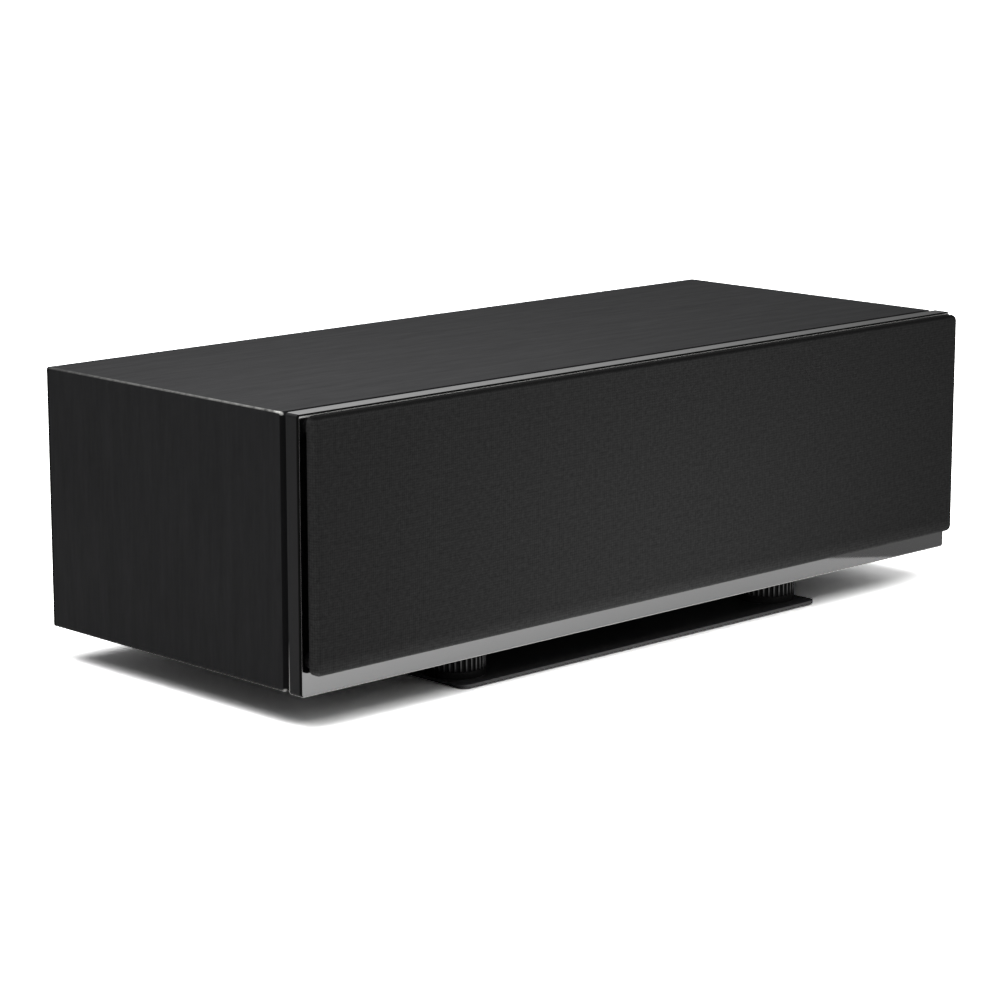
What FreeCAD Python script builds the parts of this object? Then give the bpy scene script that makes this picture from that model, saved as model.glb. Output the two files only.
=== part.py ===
import FreeCAD, Part
import math
import os
import re
import Sketcher

# Centre channel loudspeaker: a low wide cabinet with two mid-woofers and a dome tweeter,
# a lacquered front baffle, a pull-off cloth grille and a base plate on fluted pillars.
# +Z is up, the front faces -Y, and the origin is on the floor under the middle of the object.

# Driving dimensions in millimetres, by piece
SIZES = {
    # Cabinet of mitred panels
    "cabinet_width": 539.2,
    "cabinet_height": 151.0,
    "cabinet_depth": 207.3,
    "cabinet_rear": 114.4,
    "cabinet_floor": 18.9,
    "wall": 15.0,
    "edge_round": 1.5,
    "front_bevel": 3.6,
    "rear_recess": 3.0,
    # Braces inside the cabinet
    "brace_place": 84.0,
    "brace_thick": 12.0,
    "brace_window_width": 110.0,
    "brace_window_height": 70.0,
    "brace_window_round": 20.0,
    # Front baffle and the shadow gap behind it
    "baffle_thick": 10.0,
    "baffle_proud": 0.4,
    "baffle_corner": 2.0,
    "baffle_edge": 0.8,
    "shadow_gap": 2.0,
    "gasket_inset": 5.0,
    "gasket_width": 9.0,
    # Grille
    "grille_width": 534.0,
    "grille_height": 139.1,
    "grille_rise": 11.6,
    "grille_thick": 6.5,
    "grille_standoff": 3.0,
    "grille_corner": 4.0,
    "grille_edge": 3.2,
    "cloth_thick": 0.6,
    "grille_bar": 13.0,
    "grille_upright": 90.0,
    "grille_upright_width": 12.0,
    "grille_window_round": 8.0,
    "peg_inset": 7.0,
    "peg_radius": 3.0,
    "peg_reach": 6.0,
    "peg_shoulder": 5.0,
    "cup_radius": 5.0,
    "cup_bore": 3.3,
    "cup_depth": 8.0,
    "cup_floor": 1.0,
    # Base
    "plate_length": 300.0,
    "plate_depth": 180.0,
    "plate_setback": 3.0,
    "plate_thick": 2.0,
    "plate_corner": 6.0,
    "pad_thick": 0.6,
    "pad_radius": 11.0,
    "pad_place": 100.0,
    "pad_edge": 18.0,
    "pillar_radius": 17.5,
    "pillar_place": 132.0,
    "pillar_edge": 26.0,
    "pillar_band": 4.0,
    "flute_radius": 1.25,
    "flute_count": 34,
    "base_screw_radius": 2.5,
    "base_screw_head": 4.5,
    "base_screw_bite": 11.0,
    # Places of the drivers
    "driver_rise": 78.0,
    "woofer_place": 165.0,
    "flange_thick": 4.0,
    "flange_gap": 0.3,
    # Mid-woofer basket
    "basket_radius": 65.0,
    "basket_depth": 45.0,
    "basket_lip": 57.5,
    "basket_lip_depth": 2.5,
    "basket_mouth": 55.0,
    "basket_wall": 2.2,
    "basket_seat": 36.0,
    "basket_seat_bore": 20.0,
    "basket_seat_thick": 4.0,
    "spider_landing": 37.8,
    "spider_landing_bore": 29.5,
    "spider_landing_depth": 33.0,
    "basket_window_start": 10.0,
    "basket_window_end": 29.0,
    "basket_window_angle": 42.0,
    "basket_window_count": 6,
    "basket_bolt_circle": 61.2,
    "basket_bolt_count": 6,
    "basket_cutout": 56.0,
    "basket_clear": 53.0,
    # Mid-woofer surround and spider
    "rubber": 0.9,
    "roll_outer": 53.4,
    "roll_inner": 45.0,
    "roll_radius": 5.0,
    "roll_back_outer": 53.0,
    "roll_back_inner": 46.1,
    "roll_back_radius": 4.1,
    "surround_bore": 41.8,
    "surround_slack": 0.2,
    "spider_bore": 13.2,
    "spider_rim": 36.5,
    "spider_first_fold": 14.5,
    "spider_pitch": 3.0,
    "spider_wave": 1.2,
    "spider_thick": 0.5,
    "spider_folds": 5,
    # Mid-woofer cone, dust cap and voice coil
    "rim_radius": 45.6,
    "rim_depth": 6.5,
    "cone_paper": 0.8,
    "cone_neck_depth": 28.0,
    "neck_glue": 1.3,
    "cap_radius": 17.0,
    "cap_ball": 22.0,
    "cap_thick": 0.6,
    "former_bore": 12.4,
    "former_radius": 12.9,
    "former_front": 26.0,
    "former_back": 52.0,
    "winding_radius": 13.6,
    "winding_length": 10.0,
    # Mid-woofer motor
    "gap_radius": 14.2,
    "top_plate_radius": 40.0,
    "top_plate_thick": 6.0,
    "magnet_bore": 21.0,
    "magnet_radius": 43.0,
    "magnet_thick": 16.0,
    "yoke_thick": 5.0,
    "pole_radius": 11.9,
    "pole_vent": 4.0,
    # Tweeter
    "tweeter_radius": 50.0,
    "tweeter_throat": 17.2,
    "tweeter_throat_depth": 2.2,
    "tweeter_flare": 30.0,
    "tweeter_boss": 36.0,
    "tweeter_boss_depth": 7.0,
    "tweeter_cutout": 37.0,
    "tweeter_bolt_circle": 44.0,
    "tweeter_bolt_count": 4,
    "tweeter_plate_thick": 4.0,
    "tweeter_gap_radius": 13.7,
    "tweeter_magnet_bore": 19.0,
    "tweeter_magnet_thick": 9.0,
    "tweeter_yoke_thick": 4.0,
    "tweeter_pole": 11.9,
    "tweeter_vent": 3.0,
    "chamber_radius": 33.0,
    "chamber_depth": 16.0,
    "chamber_wall": 2.0,
    "dome_radius": 12.8,
    "dome_ball": 18.5,
    "dome_base": 5.6,
    "dome_cloth": 0.5,
    "dome_former_bore": 12.4,
    "dome_coil_radius": 13.2,
    "dome_coil_front": 7.6,
    "dome_coil_back": 10.6,
    "dome_roll_inner": 13.2,
    "dome_roll_outer": 16.0,
    "dome_roll_radius": 1.6,
    "dome_roll_cloth": 0.5,
    # Driver screws
    "driver_screw_radius": 1.9,
    "driver_screw_hole": 2.1,
    "driver_screw_head": 3.2,
    "driver_screw_head_thick": 1.6,
    "driver_screw_length": 22.0,
    # Reflex port
    "port_setback": 118.0,
    "port_bore": 21.0,
    "port_wall": 2.2,
    "port_length": 92.0,
    "port_mouth": 6.0,
    "port_flange": 33.0,
    "port_flange_thick": 2.5,
    # Terminals
    "cup_plate_width": 96.0,
    "cup_plate_height": 76.0,
    "cup_plate_thick": 3.0,
    "cup_plate_round": 6.0,
    "cup_box_width": 82.0,
    "cup_box_height": 62.0,
    "cup_box_round": 5.0,
    "cup_box_depth": 31.0,
    "cup_box_wall": 2.5,
    "post_place": 19.0,
    "post_radius": 3.4,
    "post_collar": 6.5,
    "post_collar_thick": 3.0,
    "post_length": 21.0,
    "post_tail": 9.0,
    "post_tail_radius": 2.5,
    "plug_bore": 2.05,
    "plug_bore_depth": 16.0,
    "nut_radius": 7.0,
    "nut_bore": 3.7,
    "nut_length": 17.0,
    "nut_start": 4.5,
    "nut_scallop": 1.0,
    "nut_scallops": 16,
    "cup_screw_radius": 1.6,
    "cup_screw_head": 3.0,
    "cup_screw_head_thick": 1.2,
    "cup_screw_length": 13.0,
    "cup_screw_inset": 5.0,
    # Crossover
    "board_width": 130.0,
    "board_height": 92.0,
    "board_thick": 1.6,
    "board_place": 172.0,
    "coil_radius": 19.0,
    "coil_bore": 9.0,
    "coil_thick": 16.0,
    "capacitor_radius": 9.0,
    "capacitor_length": 34.0,
    "resistor_length": 26.0,
    "resistor_side": 9.5,
    "component_gap": 24.0,
    # Wadding
    "wadding_thick": 22.0,
    "wadding_depth": 120.0,
    "wadding_height": 100.0,
}

doc = FreeCAD.newDocument("CentreSpeaker")
sheet = doc.addObject("Spreadsheet::Sheet", "Sizes")
for row, (alias, value) in enumerate(SIZES.items(), start=1):
    sheet.set(f"A{row}", alias)
    sheet.set(f"B{row}", str(value))
    sheet.setAlias(f"B{row}", alias)
doc.recompute()

# Planes that several pieces are placed from
CABINET_FRONT = "(cabinet_rear - cabinet_depth)"
BAFFLE_BACK = "(cabinet_rear - cabinet_depth - shadow_gap)"
BAFFLE_FACE = "(cabinet_rear - cabinet_depth - shadow_gap - baffle_thick)"
CABINET_MIDDLE = "(cabinet_floor + cabinet_height / 2)"
REAR_FACE = "(cabinet_rear - rear_recess)"
REAR_INSIDE = "(cabinet_rear - rear_recess - wall)"
DRIVER_LINE = "(cabinet_floor + driver_rise)"
GRILLE_MIDDLE = "(cabinet_floor + grille_rise + grille_height / 2)"
INSIDE_WIDTH = "(cabinet_width - 2 * wall)"
INSIDE_HEIGHT = "(cabinet_height - 2 * wall)"
INSIDE_FRONT = "(cabinet_rear - cabinet_depth + wall)"
PILLAR_HEIGHT = "(cabinet_floor - plate_thick - pad_thick)"
PLATE_MIDDLE = f"({BAFFLE_FACE} + plate_setback + plate_depth / 2)"
PILLAR_SPREAD = "(plate_depth / 2 - pillar_edge)"
PORT_LINE = f"({BAFFLE_FACE} + port_setback)"

ALONG_Y = FreeCAD.Rotation(FreeCAD.Vector(1, 0, 0), -90)
ALONG_X = FreeCAD.Rotation(FreeCAD.Vector(0, 1, 0), 90)
subparts = []


def bound(formula):
    """The formula with each named size pointed at the spreadsheet."""
    def point(word):
        return "Sizes." + word[0] if word[0] in SIZES else word[0]
    return re.sub(r"[a-z_]\w*", point, formula)


def size(formula):
    """What a formula of named sizes comes to, in millimetres."""
    return float(sheet.evalExpression(bound(formula)))


def bind(item, prop, formula):
    item.setExpression(prop, bound(formula))


def place(item, x, y, z, turn=FreeCAD.Rotation()):
    item.Placement = FreeCAD.Placement(FreeCAD.Vector(0, 0, 0), turn)
    for axis, formula in zip("xyz", (x, y, z)):
        bind(item, "Placement.Base." + axis, formula)


def new_body(label, x="0", y="0", z="0", turn=FreeCAD.Rotation()):
    body = doc.addObject("PartDesign::Body", label)
    body.Label = label
    place(body, x, y, z, turn)
    subparts.append(body)
    return body


def origin_part(body, role):
    return next(part for part in body.Origin.OriginFeatures if part.Role == role)


def sketch_on(body, name, plane, level="0"):
    """A sketch on one of the body's own planes, lifted to a level along Y or Z."""
    sketch = body.newObject("Sketcher::SketchObject", name)
    sketch.AttachmentSupport = (origin_part(body, plane), "")
    sketch.MapMode = "FlatFace"
    normal = "-" if plane == "XZ_Plane" else ""
    bind(sketch, "AttachmentOffset.Base.z", f"{normal}({level})")
    return sketch


def pin_point(sketch, shape, end, point, corner):
    for kind, value, formula in (("DistanceX", point.x, corner[0]), ("DistanceY", point.y, corner[1])):
        index = sketch.addConstraint(Sketcher.Constraint(kind, -1, 1, shape, end, value))
        bind(sketch, f"Constraints[{index}]", formula)


def pin_radius(sketch, shape, formula):
    index = sketch.addConstraint(Sketcher.Constraint("Radius", shape, size(formula)))
    bind(sketch, f"Constraints[{index}]", formula)


def arc_between(start, stop, radius, turn):
    """The short arc from start to stop, turning left (+1) or right (-1)."""
    chord = stop - start
    left = FreeCAD.Vector(-chord.y, chord.x, 0).normalize() * turn
    reach = math.sqrt(radius ** 2 - (chord.Length / 2) ** 2)
    middle = (start + stop) / 2 + left * (reach - radius)
    return Part.Arc(start, middle, stop) if turn > 0 else Part.Arc(stop, middle, start)


def outline(sketch, corners):
    """A closed outline. A corner is (across, along); with a third value, the radius, the edge
    that leaves it is an arc turning left, or right where a fourth value says so."""
    points = [FreeCAD.Vector(size(corner[0]), size(corner[1]), 0) for corner in corners]
    first = sketch.GeometryCount
    ends = []
    for index, corner in enumerate(corners):
        start = points[index]
        stop = points[(index + 1) % len(points)]
        if len(corner) == 2:
            sketch.addGeometry(Part.LineSegment(start, stop), False)
            ends.append((1, 2))
            continue
        turn = -1 if len(corner) == 4 else 1
        shape = sketch.addGeometry(arc_between(start, stop, size(corner[2]), turn), False)
        pin_radius(sketch, shape, corner[2])
        ends.append((1, 2) if turn > 0 else (2, 1))
    for index, corner in enumerate(corners):
        following = (index + 1) % len(corners)
        meet = Sketcher.Constraint(
            "Coincident", first + index, ends[index][1], first + following, ends[following][0]
        )
        sketch.addConstraint(meet)
        pin_point(sketch, first + index, ends[index][0], points[index], corner)


def circle(sketch, across, along, radius):
    middle = FreeCAD.Vector(size(across), size(along), 0)
    shape = sketch.addGeometry(Part.Circle(middle, FreeCAD.Vector(0, 0, 1), size(radius)), False)
    pin_point(sketch, shape, 3, middle, (across, along))
    pin_radius(sketch, shape, radius)


def rectangle(sketch, width, height, across="0", along="0"):
    left, right = f"{across} - ({width}) / 2", f"{across} + ({width}) / 2"
    low, high = f"{along} - ({height}) / 2", f"{along} + ({height}) / 2"
    outline(sketch, [(left, low), (right, low), (right, high), (left, high)])


def rounded(sketch, width, height, radius, across="0", along="0"):
    left, right = f"{across} - ({width}) / 2", f"{across} + ({width}) / 2"
    low, high = f"{along} - ({height}) / 2", f"{along} + ({height}) / 2"
    outline(sketch, [
        (f"{left} + {radius}", low),
        (f"{right} - {radius}", low, radius),
        (right, f"{low} + {radius}"),
        (right, f"{high} - {radius}", radius),
        (f"{right} - {radius}", high),
        (f"{left} + {radius}", high, radius),
        (left, f"{high} - {radius}"),
        (left, f"{low} + {radius}", radius),
    ])


def faces_front(sketch):
    return sketch.AttachmentSupport[0][0].Role == "XZ_Plane"


def extrude(body, sketch, length):
    """Adds the sketch's area along +Y or +Z."""
    pad = body.newObject("PartDesign::Pad", sketch.Label + "Pad")
    pad.Profile = sketch
    pad.Reversed = faces_front(sketch)
    bind(pad, "Length", length)
    doc.recompute()
    return pad


def cut(body, sketch, length, taper=0):
    """Takes the sketch's area away along +Y or +Z."""
    before = body.Shape.Volume
    pocket = body.newObject("PartDesign::Pocket", sketch.Label + "Cut")
    pocket.Profile = sketch
    pocket.Reversed = not faces_front(sketch)
    pocket.TaperAngle = taper
    bind(pocket, "Length", length)
    doc.recompute()
    if body.Shape.Volume >= before:
        raise RuntimeError(f"{body.Label}: {sketch.Label} cuts nothing")
    return pocket


def turn_about(body, sketch, kind="PartDesign::Revolution"):
    """Revolves the sketch about its own upright axis."""
    feature = body.newObject(kind, sketch.Label + "Turn")
    feature.Profile = sketch
    feature.ReferenceAxis = (sketch, ["V_Axis"])
    feature.Angle = 360
    doc.recompute()
    return feature


def turned(label, x, y, z, corners):
    """A round piece about an axis along Y, from a half section of (radius, depth) corners."""
    body = new_body(label, x, y, z)
    sketch = sketch_on(body, label + "_section", "XY_Plane")
    outline(sketch, corners)
    turn_about(body, sketch)
    return body


def ring(label, x, y, z, bore, radius, front, back):
    return turned(label, x, y, z, [(bore, front), (radius, front), (radius, back), (bore, back)])


def repeat_round(body, feature, axis, count):
    pattern = body.newObject("PartDesign::PolarPattern", feature.Label + "Ring")
    pattern.Originals = [feature]
    pattern.Axis = (origin_part(body, axis), [""])
    pattern.Angle = 360
    bind(pattern, "Occurrences", count)
    body.Tip = pattern
    doc.recompute()


def round_edges(body, feature, radius, wanted):
    """Fillets the feature's edges that pass the wanted test."""
    names = [f"Edge{i}" for i, edge in enumerate(feature.Shape.Edges, start=1) if wanted(edge)]
    fillet = body.newObject("PartDesign::Fillet", feature.Label + "Round")
    fillet.Base = (feature, names)
    bind(fillet, "Radius", radius)
    doc.recompute()
    return fillet


def on_level_y(edge, level):
    box = edge.BoundBox
    return abs(box.YMin - level) < 1e-6 and abs(box.YMax - level) < 1e-6


def primitive(kind, label, x, y, z, turn=FreeCAD.Rotation(), **formulas):
    item = doc.addObject(kind, label)
    for prop, formula in formulas.items():
        bind(item, prop, formula)
    place(item, x, y, z, turn)
    return item


def group(label, items):
    """Separate like solids that share one node."""
    compound = doc.addObject("Part::Compound", label)
    compound.Label = label
    compound.Links = items
    subparts.append(compound)


def joined(label, base, tool, kind="Part::Fuse"):
    result = doc.addObject(kind, label)
    result.Base = base
    result.Tool = tool
    return result


# Cabinet panels: mitred boards with lightly rounded long edges and a bevel round the front opening
def panel(label, span, reach, turn):
    rotation = FreeCAD.Rotation(FreeCAD.Vector(0, 1, 0), turn)
    body = new_body(label, "0", CABINET_FRONT, CABINET_MIDDLE, rotation)
    mitre = "edge_round * (1 - sqrt(0.5))"

    def section(name, level, inset):
        sketch = sketch_on(body, label + name, "XZ_Plane", level)
        outer, end = f"({reach} - {inset})", f"({span} / 2 - {inset})"
        outline(sketch, [
            (f"-{span} / 2 + wall", f"{reach} - wall"),
            (f"{span} / 2 - wall", f"{reach} - wall"),
            (f"{end} - {mitre}", f"{outer} - {mitre}", "edge_round"),
            (f"{end} - edge_round", outer),
            (f"-{end} + edge_round", outer, "edge_round"),
            (f"-{end} + {mitre}", f"{outer} - {mitre}"),
        ])
        return sketch

    front = section("_front", "0", "front_bevel")
    full = section("_full", "front_bevel", "0")
    bevel = body.newObject("PartDesign::AdditiveLoft", label + "_bevel")
    bevel.Profile = front
    bevel.Sections = [full]
    doc.recompute()
    extrude(body, full, "cabinet_depth - front_bevel")
    return body


panel("top_panel", "cabinet_width", "cabinet_height / 2", 0)
panel("right_panel", "cabinet_height", "cabinet_width / 2", 90)
panel("left_panel", "cabinet_height", "cabinet_width / 2", -90)
bottom = panel("bottom_panel", "cabinet_width", "cabinet_height / 2", 180)

# The floor of the cabinet has the port's hole and pilot holes for the base screws
port_hole = sketch_on(bottom, "port_hole", "XY_Plane")
circle(port_hole, "0", f"{PORT_LINE} - {CABINET_FRONT}", "port_bore + port_wall")
cut(bottom, port_hole, "cabinet_height / 2")
pilot_holes = sketch_on(bottom, "base_pilot_holes", "XY_Plane", "cabinet_height / 2 - base_screw_bite")
for side in ("-", ""):
    for end in ("-", "+"):
        along = f"{PLATE_MIDDLE} {end} {PILLAR_SPREAD} - {CABINET_FRONT}"
        circle(pilot_holes, f"{side}pillar_place", along, "base_screw_radius")
cut(bottom, pilot_holes, "base_screw_bite")

# Rear panel: set a little inside the panels' rear edges, with the terminal cup's opening
rear = new_body("rear_panel", "0", REAR_INSIDE, CABINET_MIDDLE)
rear_outline = sketch_on(rear, "rear_outline", "XZ_Plane")
rectangle(rear_outline, INSIDE_WIDTH, INSIDE_HEIGHT)
rounded(rear_outline, "cup_box_width", "cup_box_height", "cup_box_round")
extrude(rear, rear_outline, "wall")
CUP_SCREW_X = "(cup_plate_width / 2 - cup_screw_inset)"
CUP_SCREW_Z = "(cup_plate_height / 2 - cup_screw_inset)"
cup_pilots = sketch_on(rear, "cup_pilot_holes", "XZ_Plane", "wall - cup_screw_length + cup_plate_thick")
for side in ("-", ""):
    for end in ("-", ""):
        circle(cup_pilots, f"{side}{CUP_SCREW_X}", f"{end}{CUP_SCREW_Z}", "cup_screw_radius")
cut(rear, cup_pilots, "cup_screw_length - cup_plate_thick")

# Where the drivers' screws stand, as (x, z) formulas from the cabinet's middle line
DRIVER_DROP = f"({DRIVER_LINE} - {CABINET_MIDDLE})"


def bolt_places(x, z, bolt_circle, count):
    """Screws evenly round a driver, the first one level with its middle."""
    places = []
    for number in range(int(size(count))):
        angle = f"(360 * {number} / {count})"
        places.append((f"{x} + {bolt_circle} * cos{angle}", f"{z} + {bolt_circle} * sin{angle}"))
    return places


def all_bolt_places(z):
    return (
        bolt_places("-woofer_place", z, "basket_bolt_circle", "basket_bolt_count")
        + bolt_places("woofer_place", z, "basket_bolt_circle", "basket_bolt_count")
        + bolt_places("0", z, "tweeter_bolt_circle", "tweeter_bolt_count")
    )


def driver_circles(sketch, woofer_radius, tweeter_radius):
    circle(sketch, "-woofer_place", DRIVER_DROP, woofer_radius)
    circle(sketch, "woofer_place", DRIVER_DROP, woofer_radius)
    circle(sketch, "0", DRIVER_DROP, tweeter_radius)


# Inner baffle: the structural board behind the lacquered one, with clearance holes and pilot holes
inner = new_body("inner_baffle", "0", CABINET_FRONT, CABINET_MIDDLE)
inner_outline = sketch_on(inner, "inner_outline", "XZ_Plane")
rectangle(inner_outline, INSIDE_WIDTH, INSIDE_HEIGHT)
driver_circles(inner_outline, "basket_clear", "tweeter_cutout")
for across, along in all_bolt_places(DRIVER_DROP):
    circle(inner_outline, across, along, "driver_screw_radius")
extrude(inner, inner_outline, "wall")

# Braces: upright boards between the drivers, with a window so that the chambers share their air
for name, side in (("left", "-"), ("right", "")):
    brace = new_body("brace_" + name, f"{side}brace_place - brace_thick / 2",
                     f"({INSIDE_FRONT} + {REAR_INSIDE}) / 2", CABINET_MIDDLE)
    brace_outline = sketch_on(brace, f"brace_{name}_outline", "YZ_Plane")
    rectangle(brace_outline, f"{REAR_INSIDE} - {INSIDE_FRONT}", INSIDE_HEIGHT)
    rounded(brace_outline, "brace_window_width", "brace_window_height", "brace_window_round")
    extrude(brace, brace_outline, "brace_thick")

# Front baffle: a lacquered panel with eased edges, rebated for the driver flanges and the grille cups
PEG_X = "(grille_width / 2 - peg_inset)"
PEG_Z = "(grille_height / 2 - peg_inset)"
PEG_PLACES = [
    (f"-{PEG_X}", f"-{PEG_Z}"), ("0", f"-{PEG_Z}"), (PEG_X, f"-{PEG_Z}"),
    (f"-{PEG_X}", PEG_Z), ("0", PEG_Z), (PEG_X, PEG_Z),
]
GRILLE_LIFT = f"({GRILLE_MIDDLE} - {CABINET_MIDDLE})"

baffle = new_body("front_baffle", "0", BAFFLE_FACE, CABINET_MIDDLE)
baffle_outline = sketch_on(baffle, "baffle_outline", "XZ_Plane")
rounded(baffle_outline, "cabinet_width + 2 * baffle_proud", "cabinet_height + 2 * baffle_proud", "baffle_corner")
baffle_board = extrude(baffle, baffle_outline, "baffle_thick")
round_edges(baffle, baffle_board, "baffle_edge", lambda edge: on_level_y(edge, 0))
rebates = sketch_on(baffle, "flange_rebates", "XZ_Plane")
driver_circles(rebates, "basket_radius + flange_gap", "tweeter_radius + flange_gap")
cut(baffle, rebates, "flange_thick")
cutouts = sketch_on(baffle, "driver_cutouts", "XZ_Plane")
driver_circles(cutouts, "basket_cutout", "tweeter_cutout")
for across, along in all_bolt_places(DRIVER_DROP):
    circle(cutouts, across, along, "driver_screw_radius")
cut(baffle, cutouts, "baffle_thick")
cup_holes = sketch_on(baffle, "grille_cup_holes", "XZ_Plane")
for across, along in PEG_PLACES:
    circle(cup_holes, across, f"{along} + {GRILLE_LIFT}", "cup_radius")
cut(baffle, cup_holes, "cup_depth")

# Gasket: a foam strip that seals the baffle and makes the dark line behind it
gasket = new_body("baffle_gasket", "0", BAFFLE_BACK, CABINET_MIDDLE)
gasket_outline = sketch_on(gasket, "gasket_outline", "XZ_Plane")
for inset in ("gasket_inset", "(gasket_inset + gasket_width)"):
    rectangle(gasket_outline, f"cabinet_width - 2 * {inset}", f"cabinet_height - 2 * {inset}")
extrude(gasket, gasket_outline, "shadow_gap")

# Grille cups: rubber sockets pressed into the baffle
cups = []
for number, (across, along) in enumerate(PEG_PLACES):
    height = f"{along} + {GRILLE_MIDDLE}"
    barrel = primitive("Part::Cylinder", f"cup_barrel_{number}", across, BAFFLE_FACE, height, ALONG_Y,
                       Radius="cup_radius", Height="cup_depth")
    bore = primitive("Part::Cylinder", f"cup_hollow_{number}", across, BAFFLE_FACE, height, ALONG_Y,
                     Radius="cup_bore", Height="cup_depth - cup_floor")
    cups.append(joined(f"cup_{number}", barrel, bore, "Part::Cut"))
group("grille_cups", cups)

# Grille frame: one moulding with three windows, and a shouldered peg for each cup
FRAME_FACE = f"({BAFFLE_FACE} - grille_standoff - grille_thick + cloth_thick)"
FRAME_THICK = "(grille_thick - cloth_thick)"
grille = new_body("grille_frame", "0", FRAME_FACE, GRILLE_MIDDLE)
frame_outline = sketch_on(grille, "frame_outline", "XZ_Plane")
rounded(frame_outline, "grille_width - 2 * cloth_thick", "grille_height - 2 * cloth_thick",
        "(grille_corner - cloth_thick)")
frame_board = extrude(grille, frame_outline, FRAME_THICK)
round_edges(grille, frame_board, "grille_edge - cloth_thick", lambda edge: on_level_y(edge, 0))
windows = sketch_on(grille, "frame_windows", "XZ_Plane")
MIDDLE_WINDOW = "(2 * grille_upright - grille_upright_width)"
SIDE_WINDOW = "(grille_width / 2 - grille_bar - grille_upright - grille_upright_width / 2)"
SIDE_WINDOW_X = f"(grille_upright + grille_upright_width / 2 + {SIDE_WINDOW} / 2)"
WINDOW_HEIGHT = "(grille_height - 2 * grille_bar)"
rounded(windows, MIDDLE_WINDOW, WINDOW_HEIGHT, "grille_window_round")
for side in ("-", ""):
    rounded(windows, SIDE_WINDOW, WINDOW_HEIGHT, "grille_window_round", side + SIDE_WINDOW_X)
cut(grille, windows, FRAME_THICK)
for name, radius, start, length in (
    ("shoulders", "peg_shoulder", FRAME_THICK, "grille_standoff"),
    ("pegs", "peg_radius", f"{FRAME_THICK} + grille_standoff", "peg_reach"),
):
    peg_sketch = sketch_on(grille, "grille_" + name, "XZ_Plane", start)
    for across, along in PEG_PLACES:
        circle(peg_sketch, across, along, radius)
    extrude(grille, peg_sketch, length)

# Grille cloth: one skin stretched over the frame's face and down its sides
cloth = new_body("grille_cloth", "0", f"{FRAME_FACE} - cloth_thick", GRILLE_MIDDLE)
cloth_outline = sketch_on(cloth, "cloth_outline", "XZ_Plane")
rounded(cloth_outline, "grille_width", "grille_height", "grille_corner")
cloth_block = extrude(cloth, cloth_outline, "grille_thick")
cloth_round = round_edges(cloth, cloth_block, "grille_edge", lambda edge: on_level_y(edge, 0))
back_face = next(
    f"Face{i}" for i, face in enumerate(cloth_round.Shape.Faces, start=1)
    if on_level_y(face, size("grille_thick"))
)
skin = cloth.newObject("PartDesign::Thickness", "cloth_skin")
skin.Base = (cloth_round, [back_face])
skin.Reversed = True
bind(skin, "Value", "cloth_thick")
doc.recompute()

# Base plate: thin sheet steel with rounded corners and countersunk holes
base = new_body("base_plate", "0", PLATE_MIDDLE, "pad_thick")
plate_outline = sketch_on(base, "plate_outline", "XY_Plane")
rounded(plate_outline, "plate_length", "plate_depth", "plate_corner")
extrude(base, plate_outline, "plate_thick")
sinks = sketch_on(base, "plate_countersinks", "XY_Plane")
for side in ("-", ""):
    for end in ("-", ""):
        circle(sinks, f"{side}pillar_place", f"{end}{PILLAR_SPREAD}", "base_screw_head")
HEAD_TAPER = -math.degrees(math.atan(size("(base_screw_head - base_screw_radius) / plate_thick")))
cut(base, sinks, "plate_thick", HEAD_TAPER)

# Pillars: round posts with upright flutes above a plain band, one at each corner of the plate
screws = []
pads = []
for depth_name, end in (("front", "-"), ("rear", "+")):
    for side_name, side in (("left", "-"), ("right", "")):
        label = f"pillar_{depth_name}_{side_name}"
        x, y = f"{side}pillar_place", f"{PLATE_MIDDLE} {end} {PILLAR_SPREAD}"
        pillar = new_body(label, x, y, "pad_thick + plate_thick")
        pillar_round = sketch_on(pillar, label + "_round", "XY_Plane")
        circle(pillar_round, "0", "0", "pillar_radius")
        circle(pillar_round, "0", "0", "base_screw_radius")
        extrude(pillar, pillar_round, PILLAR_HEIGHT)
        flute = sketch_on(pillar, label + "_flute", "XY_Plane", "pillar_band")
        circle(flute, "pillar_radius", "0", "flute_radius")
        flute_cut = cut(pillar, flute, f"{PILLAR_HEIGHT} - pillar_band")
        repeat_round(pillar, flute_cut, "Z_Axis", "flute_count")

        # Countersunk screw up through plate and pillar into the cabinet's floor
        head = primitive("Part::Cone", label + "_screw_head", x, y, "pad_thick",
                         Radius1="base_screw_head", Radius2="base_screw_radius", Height="plate_thick")
        shank = primitive("Part::Cylinder", label + "_screw_shank", x, y, "pad_thick + plate_thick",
                          Radius="base_screw_radius", Height=f"{PILLAR_HEIGHT} + base_screw_bite")
        screws.append(joined(label + "_screw", head, shank))

        # Thin rubber pad under the plate, clear of the screw
        pads.append(primitive("Part::Cylinder", label + "_pad", f"{side}pad_place",
                              f"{PLATE_MIDDLE} {end} (plate_depth / 2 - pad_edge)", "0",
                              Radius="pad_radius", Height="pad_thick"))
group("base_screws", screws)
group("base_pads", pads)


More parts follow.
